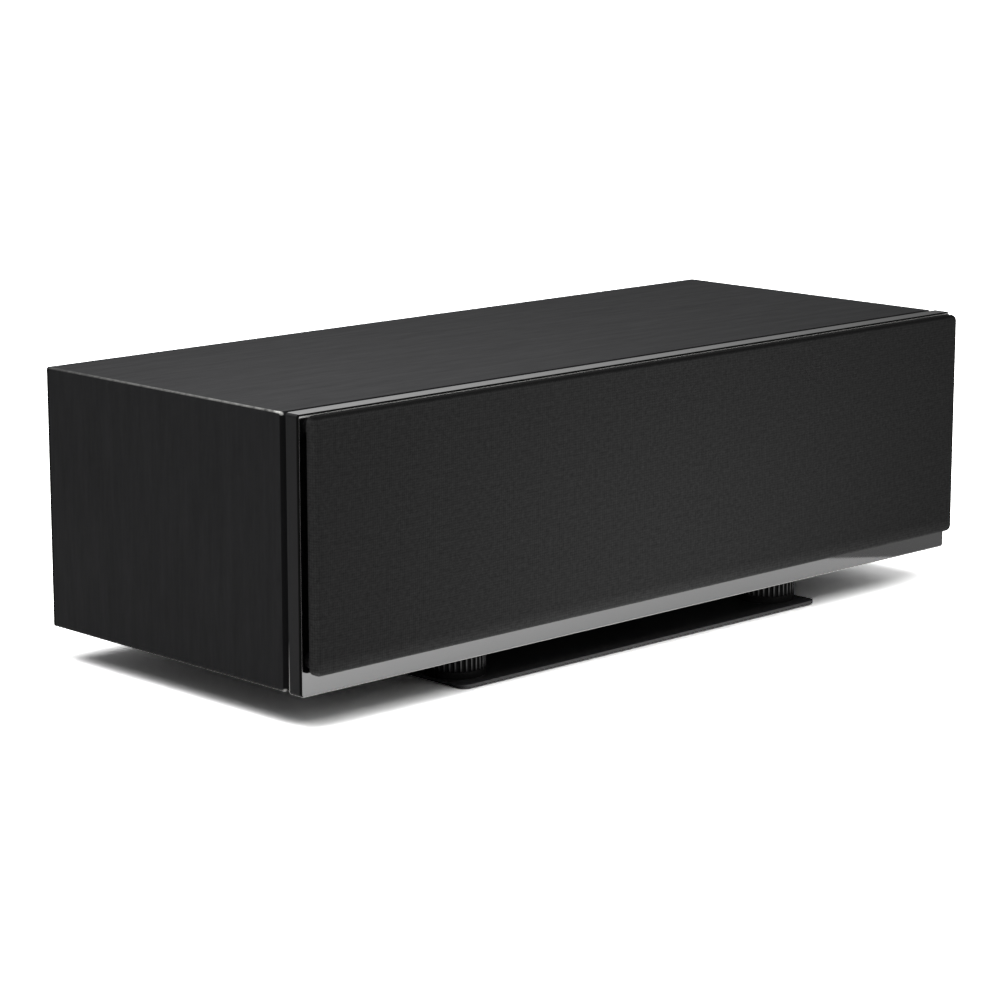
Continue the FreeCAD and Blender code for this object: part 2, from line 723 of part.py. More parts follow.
# Mid-woofer: pressed basket with windows, rubber half-roll, folded spider, paper cone and ferrite motor
def woofer(name, x):
    prefix = f"woofer_{name}_"
    here = (x, BAFFLE_FACE, DRIVER_LINE)
    seat_front = "(basket_depth - basket_seat_thick)"

    basket = turned(prefix + "basket", *here, [
        ("basket_lip", "0"),
        ("basket_radius", "0"),
        ("basket_radius", "flange_thick"),
        ("basket_mouth", "flange_thick"),
        ("basket_seat", seat_front),
        ("basket_seat", "basket_depth"),
        ("basket_seat_bore", "basket_depth"),
        ("basket_seat_bore", seat_front),
        ("spider_landing_bore", seat_front),
        ("spider_landing_bore", "spider_landing_depth"),
        ("spider_landing", "spider_landing_depth"),
        ("basket_mouth - basket_wall", "flange_thick"),
        ("basket_mouth - basket_wall", "basket_lip_depth"),
        ("basket_lip", "basket_lip_depth"),
    ])
    window = sketch_on(basket, prefix + "window", "XY_Plane")
    outline(window, [
        ("spider_landing", "basket_window_start"),
        ("basket_radius", "basket_window_start"),
        ("basket_radius", "basket_window_end"),
        ("spider_landing", "basket_window_end"),
    ])
    window_cut = turn_about(basket, window, "PartDesign::Groove")
    bind(window_cut, "Angle", "basket_window_angle")
    repeat_round(basket, window_cut, "Y_Axis", "basket_window_count")
    bolt_holes = sketch_on(basket, prefix + "bolt_holes", "XZ_Plane")
    for across, along in bolt_places("0", "0", "basket_bolt_circle", "basket_bolt_count"):
        circle(bolt_holes, across, along, "driver_screw_hole")
    basket.Tip = cut(basket, bolt_holes, "flange_thick")

    lip_front, rim_front = "basket_lip_depth - rubber", "rim_depth - rubber"
    turned(prefix + "surround", *here, [
        ("basket_lip - surround_slack", "basket_lip_depth"),
        ("basket_lip - surround_slack", lip_front),
        ("roll_outer", lip_front, "roll_radius", "right"),
        ("roll_inner", rim_front),
        ("surround_bore", rim_front),
        ("surround_bore", "rim_depth"),
        ("roll_back_inner", "rim_depth", "roll_back_radius"),
        ("roll_back_outer", "basket_lip_depth"),
    ])

    # Folds run out from the coil, then back along the other face of the cloth
    spider_back = "spider_landing_depth"
    spider_front = "(spider_landing_depth - spider_thick)"
    folds = []
    for number in range(int(SIZES["spider_folds"])):
        wave = "spider_wave" if number % 2 else "-spider_wave"
        folds.append((f"spider_first_fold + {number} * spider_pitch", wave))
    front = [(radius, f"{spider_front} + {wave}") for radius, wave in folds]
    back = [(radius, f"{spider_back} + {wave}") for radius, wave in reversed(folds)]
    turned(prefix + "spider", *here, [
        ("spider_bore", spider_back), ("spider_bore", spider_front), *front,
        ("spider_landing_bore", spider_front), ("spider_rim", spider_front),
        ("spider_rim", spider_back), ("spider_landing_bore", spider_back), *back,
    ])

    turned(prefix + "cone", *here, [
        ("rim_radius", "rim_depth"),
        ("rim_radius", "rim_depth + cone_paper"),
        ("surround_bore", "rim_depth + cone_paper"),
        ("former_radius", "cone_neck_depth + neck_glue"),
        ("former_radius", "cone_neck_depth"),
        ("surround_bore", "rim_depth"),
    ])
    cone_fall = "(cone_neck_depth - rim_depth) / (surround_bore - former_radius)"
    cap_edge = f"(cone_neck_depth - (cap_radius - former_radius) * {cone_fall})"
    cap_rise = "(cap_ball - sqrt(cap_ball ^ 2 - cap_radius ^ 2))"
    turned(prefix + "dust_cap", *here, [
        ("cap_radius", cap_edge, "cap_ball", "right"),
        ("0", f"{cap_edge} - {cap_rise}"),
        ("0", f"{cap_edge} - {cap_rise} + cap_thick", "cap_ball - cap_thick"),
        ("cap_radius - cap_thick", cap_edge),
    ])
    winding_front = "(former_back - winding_length)"
    turned(prefix + "voice_coil", *here, [
        ("former_bore", "former_front"),
        ("former_radius", "former_front"),
        ("former_radius", winding_front),
        ("winding_radius", winding_front),
        ("winding_radius", "former_back"),
        ("former_bore", "former_back"),
    ])

    plate_back = "(basket_depth + top_plate_thick)"
    magnet_back = "(basket_depth + top_plate_thick + magnet_thick)"
    ring(prefix + "top_plate", *here, "gap_radius", "top_plate_radius", "basket_depth", plate_back)
    ring(prefix + "magnet", *here, "magnet_bore", "magnet_radius", plate_back, magnet_back)
    turned(prefix + "yoke", *here, [
        ("pole_vent", "basket_depth"),
        ("pole_radius", "basket_depth"),
        ("pole_radius", magnet_back),
        ("top_plate_radius", magnet_back),
        ("top_plate_radius", f"{magnet_back} + yoke_thick"),
        ("pole_vent", f"{magnet_back} + yoke_thick"),
    ])


woofer("left", "-woofer_place")
woofer("right", "woofer_place")

# Tweeter: moulded faceplate with a shallow flare, soft dome, ring magnet and a sealed rear chamber
TWEETER = ("0", BAFFLE_FACE, DRIVER_LINE)
TWEETER_PLATE_BACK = "(tweeter_boss_depth + tweeter_plate_thick)"
TWEETER_MAGNET_BACK = f"({TWEETER_PLATE_BACK} + tweeter_magnet_thick)"
TWEETER_YOKE_BACK = f"({TWEETER_MAGNET_BACK} + tweeter_yoke_thick)"
faceplate = turned("tweeter_faceplate", *TWEETER, [
    ("tweeter_throat", "tweeter_throat_depth"),
    ("tweeter_flare", "0"),
    ("tweeter_radius", "0"),
    ("tweeter_radius", "flange_thick"),
    ("tweeter_boss", "flange_thick"),
    ("tweeter_boss", "tweeter_boss_depth"),
    ("tweeter_throat", "tweeter_boss_depth"),
])
faceplate_holes = sketch_on(faceplate, "faceplate_holes", "XZ_Plane")
for across, along in bolt_places("0", "0", "tweeter_bolt_circle", "tweeter_bolt_count"):
    circle(faceplate_holes, across, along, "driver_screw_hole")
cut(faceplate, faceplate_holes, "flange_thick")

DOME_RISE = "(dome_ball - sqrt(dome_ball ^ 2 - dome_radius ^ 2))"
turned("tweeter_dome", *TWEETER, [
    ("dome_radius", "dome_base", "dome_ball", "right"),
    ("0", f"dome_base - {DOME_RISE}"),
    ("0", f"dome_base - {DOME_RISE} + dome_cloth", "dome_ball - dome_cloth"),
    ("dome_radius - dome_cloth", "dome_base"),
])
turned("tweeter_voice_coil", *TWEETER, [
    ("dome_former_bore", "dome_base"),
    ("dome_radius", "dome_base"),
    ("dome_radius", "dome_coil_front"),
    ("dome_coil_radius", "dome_coil_front"),
    ("dome_coil_radius", "dome_coil_back"),
    ("dome_former_bore", "dome_coil_back"),
])
DOME_LIP = "(tweeter_boss_depth - dome_roll_cloth)"
turned("tweeter_surround", *TWEETER, [
    ("tweeter_throat - surround_slack", "tweeter_boss_depth"),
    ("tweeter_throat - surround_slack", DOME_LIP),
    ("dome_roll_outer", DOME_LIP, "dome_roll_radius", "right"),
    ("dome_roll_inner", DOME_LIP),
    ("dome_roll_inner", "tweeter_boss_depth"),
    ("dome_roll_inner + dome_roll_cloth", "tweeter_boss_depth", "dome_roll_radius - dome_roll_cloth"),
    ("dome_roll_outer - dome_roll_cloth", "tweeter_boss_depth"),
])
ring("tweeter_top_plate", *TWEETER, "tweeter_gap_radius", "tweeter_boss", "tweeter_boss_depth", TWEETER_PLATE_BACK)
ring("tweeter_magnet", *TWEETER, "tweeter_magnet_bore", "tweeter_boss", TWEETER_PLATE_BACK, TWEETER_MAGNET_BACK)
turned("tweeter_yoke", *TWEETER, [
    ("tweeter_vent", "tweeter_boss_depth"),
    ("tweeter_pole", "tweeter_boss_depth"),
    ("tweeter_pole", TWEETER_MAGNET_BACK),
    ("tweeter_boss", TWEETER_MAGNET_BACK),
    ("tweeter_boss", TWEETER_YOKE_BACK),
    ("tweeter_vent", TWEETER_YOKE_BACK),
])
turned("tweeter_rear_chamber", *TWEETER, [
    ("chamber_radius - chamber_wall", TWEETER_YOKE_BACK),
    ("chamber_radius", TWEETER_YOKE_BACK),
    ("chamber_radius", f"{TWEETER_YOKE_BACK} + chamber_depth"),
    ("0", f"{TWEETER_YOKE_BACK} + chamber_depth"),
    ("0", f"{TWEETER_YOKE_BACK} + chamber_depth - chamber_wall"),
    ("chamber_radius - chamber_wall", f"{TWEETER_YOKE_BACK} + chamber_depth - chamber_wall"),
])

# Driver screws: pan heads on the flanges, threaded into both baffles
screws = []
for number, (across, height) in enumerate(all_bolt_places(DRIVER_LINE)):
    head = primitive("Part::Cylinder", f"driver_screw_head_{number}", across,
                     f"{BAFFLE_FACE} - driver_screw_head_thick", height, ALONG_Y,
                     Radius="driver_screw_head", Height="driver_screw_head_thick")
    shank = primitive("Part::Cylinder", f"driver_screw_shank_{number}", across, BAFFLE_FACE, height, ALONG_Y,
                      Radius="driver_screw_radius", Height="driver_screw_length")
    screws.append(joined(f"driver_screw_{number}", head, shank))
group("driver_screws", screws)

# Reflex port: a moulded tube with a flared mouth in the cabinet's floor, breathing above the base plate
port = new_body("port_tube", "0", PORT_LINE, "cabinet_floor")
port_section = sketch_on(port, "port_section", "XZ_Plane")
outline(port_section, [
    ("port_bore + port_mouth", "-port_flange_thick"),
    ("port_flange", "-port_flange_thick"),
    ("port_flange", "0"),
    ("port_bore + port_wall", "0"),
    ("port_bore + port_wall", "port_length"),
    ("port_bore", "port_length"),
    ("port_bore", "port_mouth - port_flange_thick", "port_mouth"),
])
turn_about(port, port_section)

# Terminal cup: moulded recess in the rear panel with a flange round it
terminal = new_body("terminal_cup", "0", REAR_FACE, CABINET_MIDDLE)
flange = sketch_on(terminal, "cup_flange", "XZ_Plane")
rounded(flange, "cup_plate_width", "cup_plate_height", "cup_plate_round")
extrude(terminal, flange, "cup_plate_thick")
box = sketch_on(terminal, "cup_box", "XZ_Plane", "-cup_box_depth")
rounded(box, "cup_box_width", "cup_box_height", "cup_box_round")
extrude(terminal, box, "cup_box_depth")
hollow = sketch_on(terminal, "cup_hollow", "XZ_Plane", "cup_box_wall - cup_box_depth")
rounded(hollow, "cup_box_width - 2 * cup_box_wall", "cup_box_height - 2 * cup_box_wall",
        "(cup_box_round - cup_box_wall)")
cut(terminal, hollow, "cup_box_depth - cup_box_wall + cup_plate_thick")
post_holes = sketch_on(terminal, "post_holes", "XZ_Plane", "-cup_box_depth")
for side in ("-", ""):
    circle(post_holes, f"{side}post_place", "0", "post_tail_radius")
cut(terminal, post_holes, "cup_box_wall")
flange_holes = sketch_on(terminal, "flange_holes", "XZ_Plane")
for side in ("-", ""):
    for end in ("-", ""):
        circle(flange_holes, f"{side}{CUP_SCREW_X}", f"{end}{CUP_SCREW_Z}", "cup_screw_radius")
cut(terminal, flange_holes, "cup_plate_thick")
head_seats = sketch_on(terminal, "head_seats", "XZ_Plane", "cup_plate_thick - cup_screw_head_thick")
for side in ("-", ""):
    for end in ("-", ""):
        circle(head_seats, f"{side}{CUP_SCREW_X}", f"{end}{CUP_SCREW_Z}", "cup_screw_head")
cut(terminal, head_seats, "cup_screw_head_thick")

# Binding posts and their scalloped nuts, with a plug bore in the end of each post
CUP_FLOOR = f"({REAR_FACE} - cup_box_depth + cup_box_wall)"
for name, side in (("minus", "-"), ("plus", "")):
    x = f"{side}post_place"
    turned(f"terminal_post_{name}", x, CUP_FLOOR, CABINET_MIDDLE, [
        ("0", "-post_tail"),
        ("post_tail_radius", "-post_tail"),
        ("post_tail_radius", "0"),
        ("post_collar", "0"),
        ("post_collar", "post_collar_thick"),
        ("post_radius", "post_collar_thick"),
        ("post_radius", "post_length"),
        ("plug_bore", "post_length"),
        ("plug_bore", "post_length - plug_bore_depth"),
        ("0", "post_length - plug_bore_depth"),
    ])
    nut = ring(f"terminal_nut_{name}", x, CUP_FLOOR, CABINET_MIDDLE,
               "nut_bore", "nut_radius", "nut_start", "nut_start + nut_length")
    scallop = sketch_on(nut, f"nut_{name}_scallop", "XZ_Plane", "nut_start")
    circle(scallop, "nut_radius", "0", "nut_scallop")
    repeat_round(nut, cut(nut, scallop, "nut_length"), "Y_Axis", "nut_scallops")

# Terminal screws: four pan heads on the cup's flange
screws = []
for side in ("-", ""):
    for end in ("-", "+"):
        number = len(screws)
        x, z = f"{side}{CUP_SCREW_X}", f"{CABINET_MIDDLE} {end} {CUP_SCREW_Z}"
        outside = f"{REAR_FACE} + cup_plate_thick"
        head = primitive("Part::Cylinder", f"cup_screw_head_{number}", x, f"{outside} - cup_screw_head_thick", z,
                         ALONG_Y, Radius="cup_screw_head", Height="cup_screw_head_thick")
        shank = primitive("Part::Cylinder", f"cup_screw_shank_{number}", x, f"{outside} - cup_screw_length", z,
                          ALONG_Y, Radius="cup_screw_radius", Height="cup_screw_length")
        screws.append(joined(f"cup_screw_{number}", head, shank))
group("terminal_screws", screws)

# Crossover: a board on the rear panel in the left chamber, its parts facing forward
BOARD_FACE = f"({REAR_INSIDE} - board_thick)"
board = new_body("crossover_board", "-board_place", BOARD_FACE, CABINET_MIDDLE)
board_outline = sketch_on(board, "board_outline", "XZ_Plane")
rectangle(board_outline, "board_width", "board_height")
extrude(board, board_outline, "board_thick")
coils = []
capacitors = []
resistors = []
for number, step in enumerate(("-1", "1")):
    x = f"-board_place + {step} * board_width / 4"
    upper, lower = f"{CABINET_MIDDLE} + component_gap", f"{CABINET_MIDDLE} - component_gap / 2"
    winding = primitive("Part::Cylinder", f"coil_winding_{number}", x, f"{BOARD_FACE} - coil_thick", upper, ALONG_Y,
                        Radius="coil_radius", Height="coil_thick")
    core = primitive("Part::Cylinder", f"coil_core_{number}", x, f"{BOARD_FACE} - coil_thick", upper, ALONG_Y,
                     Radius="coil_bore", Height="coil_thick")
    coils.append(joined(f"coil_{number}", winding, core, "Part::Cut"))
    capacitors.append(primitive("Part::Cylinder", f"capacitor_{number}", f"{x} - capacitor_length / 2",
                                f"{BOARD_FACE} - capacitor_radius", lower, ALONG_X,
                                Radius="capacitor_radius", Height="capacitor_length"))
    resistors.append(primitive("Part::Box", f"resistor_{number}", f"{x} - resistor_length / 2",
                               f"{BOARD_FACE} - resistor_side", f"{lower} - component_gap",
                               Length="resistor_length", Width="resistor_side", Height="resistor_side"))
group("crossover_inductors", coils)
group("crossover_capacitors", capacitors)
group("crossover_resistors", resistors)

# Wadding: a soft block against each end wall of the cabinet
blocks = []
for name, x in (("left", f"-{INSIDE_WIDTH} / 2"), ("right", f"{INSIDE_WIDTH} / 2 - wadding_thick")):
    blocks.append(primitive("Part::Box", f"wadding_{name}", x, f"{INSIDE_FRONT} + component_gap",
                            f"{CABINET_MIDDLE} - wadding_height / 2",
                            Length="wadding_thick", Width="wadding_depth", Height="wadding_height"))
group("wadding", blocks)

# Nothing is written unless every feature solved and every piece is a sound solid
doc.recompute()
failed = [item.Label for item in doc.Objects if {"Invalid", "Error"} & set(item.State)]
if failed:
    raise RuntimeError("failed: " + ", ".join(failed))
for piece in subparts:
    if piece.Shape.isNull() or not piece.Shape.isValid() or not piece.Shape.Solids:
        raise RuntimeError(f"{piece.Label} is not a sound solid")
os.makedirs("parts", exist_ok=True)
for piece in subparts:
    piece.Shape.exportStep(f"parts/{piece.Label}.step")
print(len(subparts), "pieces written")
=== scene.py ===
import math

import bmesh
import bpy
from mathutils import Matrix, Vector, noise


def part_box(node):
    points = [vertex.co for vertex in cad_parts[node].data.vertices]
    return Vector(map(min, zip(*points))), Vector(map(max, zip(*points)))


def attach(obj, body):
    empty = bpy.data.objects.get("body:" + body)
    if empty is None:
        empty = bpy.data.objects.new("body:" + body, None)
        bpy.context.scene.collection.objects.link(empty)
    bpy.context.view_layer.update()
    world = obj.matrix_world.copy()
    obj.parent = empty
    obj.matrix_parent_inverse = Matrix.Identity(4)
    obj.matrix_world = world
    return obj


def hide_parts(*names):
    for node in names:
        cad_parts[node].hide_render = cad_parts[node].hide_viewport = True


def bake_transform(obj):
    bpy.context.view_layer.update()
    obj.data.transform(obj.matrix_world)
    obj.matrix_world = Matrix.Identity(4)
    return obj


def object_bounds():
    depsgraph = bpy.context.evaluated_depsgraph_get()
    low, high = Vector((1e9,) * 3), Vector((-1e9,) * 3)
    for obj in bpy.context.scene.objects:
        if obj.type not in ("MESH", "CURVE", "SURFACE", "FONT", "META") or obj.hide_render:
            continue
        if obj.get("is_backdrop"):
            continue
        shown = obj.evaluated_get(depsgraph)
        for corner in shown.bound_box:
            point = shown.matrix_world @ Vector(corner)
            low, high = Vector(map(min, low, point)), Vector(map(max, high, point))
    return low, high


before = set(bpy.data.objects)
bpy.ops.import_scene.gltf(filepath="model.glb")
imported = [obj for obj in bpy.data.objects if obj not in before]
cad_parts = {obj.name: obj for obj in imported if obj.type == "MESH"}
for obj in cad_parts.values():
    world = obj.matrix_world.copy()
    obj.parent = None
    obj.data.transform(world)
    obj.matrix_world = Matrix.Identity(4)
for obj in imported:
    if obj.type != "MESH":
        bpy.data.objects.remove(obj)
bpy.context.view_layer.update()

# Cabinet panels
# Fibreboard wrapped in black ash foil, mitred and folded up round the box, so the grain runs along
# the top and on down the sides. The front bevels are painted near-black as painted shade and a band
# inside the rear edges is darkened; the folds and the two left front corners carry painted highlights.
MM = 0.001
TOP_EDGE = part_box("top_panel")[1].z
FLOOR_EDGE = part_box("bottom_panel")[0].z
SIDE_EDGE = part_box("top_panel")[1].x
FRONT_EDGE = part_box("top_panel")[0].y
REAR_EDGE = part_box("top_panel")[1].y
BEVEL = 3.6 * MM
FOIL = "#222223"
FOIL_PORE = "#1d1d1e"
FOIL_DARK_EDGE = "#0e0e0f"
FOIL_FOLD_HIGHLIGHT = "#757573"
FOIL_CORNER_GLINT = "#aeaeab"
FIGURE_LENGTH = 70 * MM
FIGURE_WIDTH = 7 * MM
PORE_LENGTH = 16 * MM
PORE_WIDTH = 2.2 * MM
PORE_DEPTH = 0.08 * MM
FIGURE_SHARE = 0.6
FOIL_ROUGH = 0.55
FOIL_DULLING = 0.04
FOIL_GLOSS = 0.05
FOLD_HIGHLIGHT_WIDTH = 0.7 * MM
FOLD_SPECK = 5 * MM
FOLD_HIGHLIGHT_REAR_SHARE = 0.3
CORNER_GLINT_SIZE = 1.6 * MM
TOP_GLINT_SPREAD = 8 * MM
FOOT_GLINT_SPREAD = 5 * MM
REAR_DARK_BAND = 2.0 * MM
DARK_EDGE_FADE = 0.3 * MM


def linear(code):
    """An sRGB hex colour as linear red, green, blue and alpha."""
    channels = [int(code[i:i + 2], 16) / 255 for i in (1, 3, 5)]
    return [c / 12.92 if c <= 0.04045 else ((c + 0.055) / 1.055) ** 2.4 for c in channels] + [1.0]


def plug(tree, node, **inputs):
    """A node's inputs, by name or by _number, set to values or linked from other nodes."""
    for name, value in inputs.items():
        socket = node.inputs[int(name[1:]) if name[0] == "_" else name.replace("_", " ")]
        several = isinstance(value, list) and isinstance(value[0], bpy.types.NodeSocket)
        if several or isinstance(value, bpy.types.NodeSocket):
            for link in value if several else [value]:
                tree.links.new(link, socket)
        else:
            socket.default_value = value


def add(tree, kind, settings=None, **inputs):
    """A new node with its settings and its inputs."""
    made = tree.nodes.new(kind)
    for name, value in (settings or {}).items():
        setattr(made, name, value)
    plug(tree, made, **inputs)
    return made


def new_material(name):
    """An empty material, its tree and its principled shader."""
    material = bpy.data.materials.new(name)
    material.use_nodes = True
    return material, material.node_tree, material.node_tree.nodes["Principled BSDF"]


def dress(material, *nodes):
    """The material on CAD nodes whose shape is right as it is."""
    for name in nodes:
        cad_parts[name].data.materials.clear()
        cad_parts[name].data.materials.append(material)


# Printed and embossed foil: a soft satin black with faint long streaks and fine pressed pores
def ash_foil(name, turn, shift):
    """Black ash foil, with the grain turned about the box and continued by shift metres."""
    material, tree, shader = new_material(name)
    place = add(tree, "ShaderNodeTexCoord").outputs["Object"]
    along = add(tree, "ShaderNodeMapping", Vector=place, Rotation=(0, math.radians(turn), 0),
                Location=(shift, 0, 0)).outputs[0]
    figure_place = add(tree, "ShaderNodeMapping", Vector=along,
                       Scale=(1 / FIGURE_LENGTH, 1 / FIGURE_WIDTH, 0)).outputs[0]
    figure = add(tree, "ShaderNodeTexNoise", Vector=figure_place, Scale=1.0, Detail=4.0, Roughness=0.6)
    pore_place = add(tree, "ShaderNodeMapping", Vector=along,
                     Scale=(1 / PORE_LENGTH, 1 / PORE_WIDTH, 0)).outputs[0]
    pore = add(tree, "ShaderNodeTexNoise", Vector=pore_place, Scale=1.0, Detail=3.0, Roughness=0.55)
    pore_share = add(tree, "ShaderNodeMath", {"operation": "MULTIPLY"}, _0=pore.outputs[0],
                     _1=1 - FIGURE_SHARE)
    grain = add(tree, "ShaderNodeMath", {"operation": "MULTIPLY_ADD"}, _0=figure.outputs[0],
                _1=FIGURE_SHARE, _2=pore_share.outputs[0]).outputs[0]
    tone = add(tree, "ShaderNodeMapRange", Value=grain, From_Min=0.35, From_Max=0.62)
    colour = add(tree, "ShaderNodeMix", {"data_type": "RGBA"}, _0=tone.outputs[0],
                 _6=linear(FOIL_PORE), _7=linear(FOIL)).outputs[2]

    # The folds along the box carry a broken painted highlight, least at the rear and most near the two left
    # front corners, and those two corners carry a painted glint
    spot = add(tree, "ShaderNodeSeparateXYZ", Vector=place)
    across = add(tree, "ShaderNodeMath", {"operation": "ABSOLUTE"}, _0=spot.outputs["X"])
    middle = (TOP_EDGE + FLOOR_EDGE) / 2
    up = add(tree, "ShaderNodeMath", {"operation": "SUBTRACT"}, _0=spot.outputs["Z"], _1=middle)
    up = add(tree, "ShaderNodeMath", {"operation": "ABSOLUTE"}, _0=up.outputs[0])
    fold_place = add(tree, "ShaderNodeCombineXYZ", X=across.outputs[0], Y=up.outputs[0])
    fold = add(tree, "ShaderNodeVectorMath", {"operation": "DISTANCE"}, _0=fold_place.outputs[0],
               _1=(SIDE_EDGE, TOP_EDGE - middle, 0))
    fold_mask = add(tree, "ShaderNodeMapRange", Value=fold.outputs["Value"], From_Min=1.6 * FOLD_HIGHLIGHT_WIDTH,
                    From_Max=0.9 * FOLD_HIGHLIGHT_WIDTH)
    broken = add(tree, "ShaderNodeTexNoise", Vector=place, Scale=1 / FOLD_SPECK, Detail=4.0,
                 Roughness=0.7)
    broken = add(tree, "ShaderNodeMapRange", Value=broken.outputs[0], From_Min=0.26, From_Max=0.6)
    highlight_toward_front = add(tree, "ShaderNodeMapRange", Value=spot.outputs["Y"], From_Min=REAR_EDGE,
                  From_Max=FRONT_EDGE, To_Min=FOLD_HIGHLIGHT_REAR_SHARE)
    fold_highlight = add(tree, "ShaderNodeMath", {"operation": "MULTIPLY"}, _0=fold_mask.outputs[0],
                _1=broken.outputs[0]).outputs[0]
    fold_highlight = add(tree, "ShaderNodeMath", {"operation": "MULTIPLY"}, _0=fold_highlight, _1=highlight_toward_front.outputs[0]).outputs[0]
    corner_glints = 0.0
    for height, spread in ((TOP_EDGE, TOP_GLINT_SPREAD), (FLOOR_EDGE, FOOT_GLINT_SPREAD)):
        corner = add(tree, "ShaderNodeVectorMath", {"operation": "DISTANCE"}, _0=place,
                     _1=(-SIDE_EDGE, FRONT_EDGE + 0.6 * BEVEL, height))
        corner_glint = add(tree, "ShaderNodeMapRange", Value=corner.outputs["Value"], From_Min=1.4 * CORNER_GLINT_SIZE,
                    From_Max=0.9 * CORNER_GLINT_SIZE)
        fold_glint = add(tree, "ShaderNodeMapRange", Value=corner.outputs["Value"], From_Min=spread,
                    From_Max=0.5 * spread)
        fold_glint = add(tree, "ShaderNodeMath", {"operation": "MULTIPLY"}, _0=fold_glint.outputs[0], _1=fold_highlight)
        for glint in (corner_glint, fold_glint):
            corner_glints = add(tree, "ShaderNodeMath", {"operation": "MAXIMUM"}, _0=corner_glints,
                          _1=glint.outputs[0]).outputs[0]
    # The front bevel is painted near-black as painted shade, and a narrow band inside the rear edges is
    # darkened too.
    dark_edges = add(tree, "ShaderNodeMapRange", Value=spot.outputs["Y"], From_Min=FRONT_EDGE + BEVEL,
                From_Max=FRONT_EDGE + BEVEL - DARK_EDGE_FADE)
    behind = add(tree, "ShaderNodeMapRange", Value=spot.outputs["Y"], From_Min=REAR_EDGE - REAR_DARK_BAND,
                 From_Max=REAR_EDGE - REAR_DARK_BAND + DARK_EDGE_FADE)
    dark_edges = add(tree, "ShaderNodeMath", {"operation": "MAXIMUM"}, _0=dark_edges.outputs[0], _1=behind.outputs[0])
    colour = add(tree, "ShaderNodeMix", {"data_type": "RGBA"}, _0=dark_edges.outputs[0], _6=colour,
                 _7=linear(FOIL_DARK_EDGE)).outputs[2]
    colour = add(tree, "ShaderNodeMix", {"data_type": "RGBA"}, _0=fold_highlight, _6=colour,
                 _7=linear(FOIL_FOLD_HIGHLIGHT)).outputs[2]
    colour = add(tree, "ShaderNodeMix", {"data_type": "RGBA"}, _0=corner_glints, _6=colour,
                 _7=linear(FOIL_CORNER_GLINT)).outputs[2]
    rough = add(tree, "ShaderNodeMapRange", Value=grain, From_Min=0.3, From_Max=0.7,
                To_Min=FOIL_ROUGH + FOIL_DULLING, To_Max=FOIL_ROUGH - FOIL_DULLING)
    bump = add(tree, "ShaderNodeBump", Strength=0.6, Distance=PORE_DEPTH, Height=grain)
    plug(tree, shader, Base_Color=colour, Roughness=rough.outputs[0], Normal=bump.outputs[0],
         Specular_IOR_Level=FOIL_GLOSS)
    return material


dress(ash_foil("black_ash_foil_level", 0, 0), "top_panel", "bottom_panel")
dress(ash_foil("black_ash_foil_left", 90, -SIDE_EDGE - TOP_EDGE), "left_panel")
dress(ash_foil("black_ash_foil_right", -90, SIDE_EDGE + TOP_EDGE), "right_panel")


# Rear panel
# A board in plain black laminate, let in a little behind the rear edges of the box. The press that
# made the laminate left a fine even pebble.
TONE_DRIFT = 60 * MM


def pressed(name, colour, shade, grit, depth, roughness, specular=0.3):
    """A pressed, moulded or sprayed skin: a fine even grit, a slow drift of tone, and its own gloss."""
    material, tree, shader = new_material(name)
    place = add(tree, "ShaderNodeTexCoord").outputs["Object"]
    grain = add(tree, "ShaderNodeTexNoise", Vector=place, Scale=1 / grit, Detail=2.0)
    drift = add(tree, "ShaderNodeTexNoise", Vector=place, Scale=1 / TONE_DRIFT, Detail=3.0)
    drift_share = add(tree, "ShaderNodeMath", {"operation": "MULTIPLY"}, _0=drift.outputs[0], _1=0.5)
    tone = add(tree, "ShaderNodeMath", {"operation": "MULTIPLY_ADD"}, _0=grain.outputs[0], _1=0.5,
               _2=drift_share.outputs[0])
    tone = add(tree, "ShaderNodeMapRange", Value=tone.outputs[0], From_Min=0.35, From_Max=0.65)
    mixed = add(tree, "ShaderNodeMix", {"data_type": "RGBA"}, _0=tone.outputs[0], _6=linear(shade),
                _7=linear(colour))
    rough = add(tree, "ShaderNodeMapRange", Value=drift.outputs[0], From_Min=0.3, From_Max=0.7,
                To_Min=roughness - 0.06, To_Max=roughness + 0.06)
    bump = add(tree, "ShaderNodeBump", Strength=0.5, Distance=depth, Height=grain.outputs[0])
    plug(tree, shader, Base_Color=mixed.outputs[2], Roughness=rough.outputs[0], Normal=bump.outputs[0],
         Specular_IOR_Level=specular)
    return material


# Melamine laminate: an even soft black that shows its pebble only in a low light
dress(pressed("black_melamine_laminate", "#29292a", "#222223", 0.9 * MM, 0.06 * MM, 0.55, 0.15), "rear_panel")


# Inner boards
# The structural baffle and the two braces. They are sawn from raw fibreboard and glued between the
# panels, to stiffen the box and to hold the drivers.
STRAND_TURNS = (0.6, -0.9)


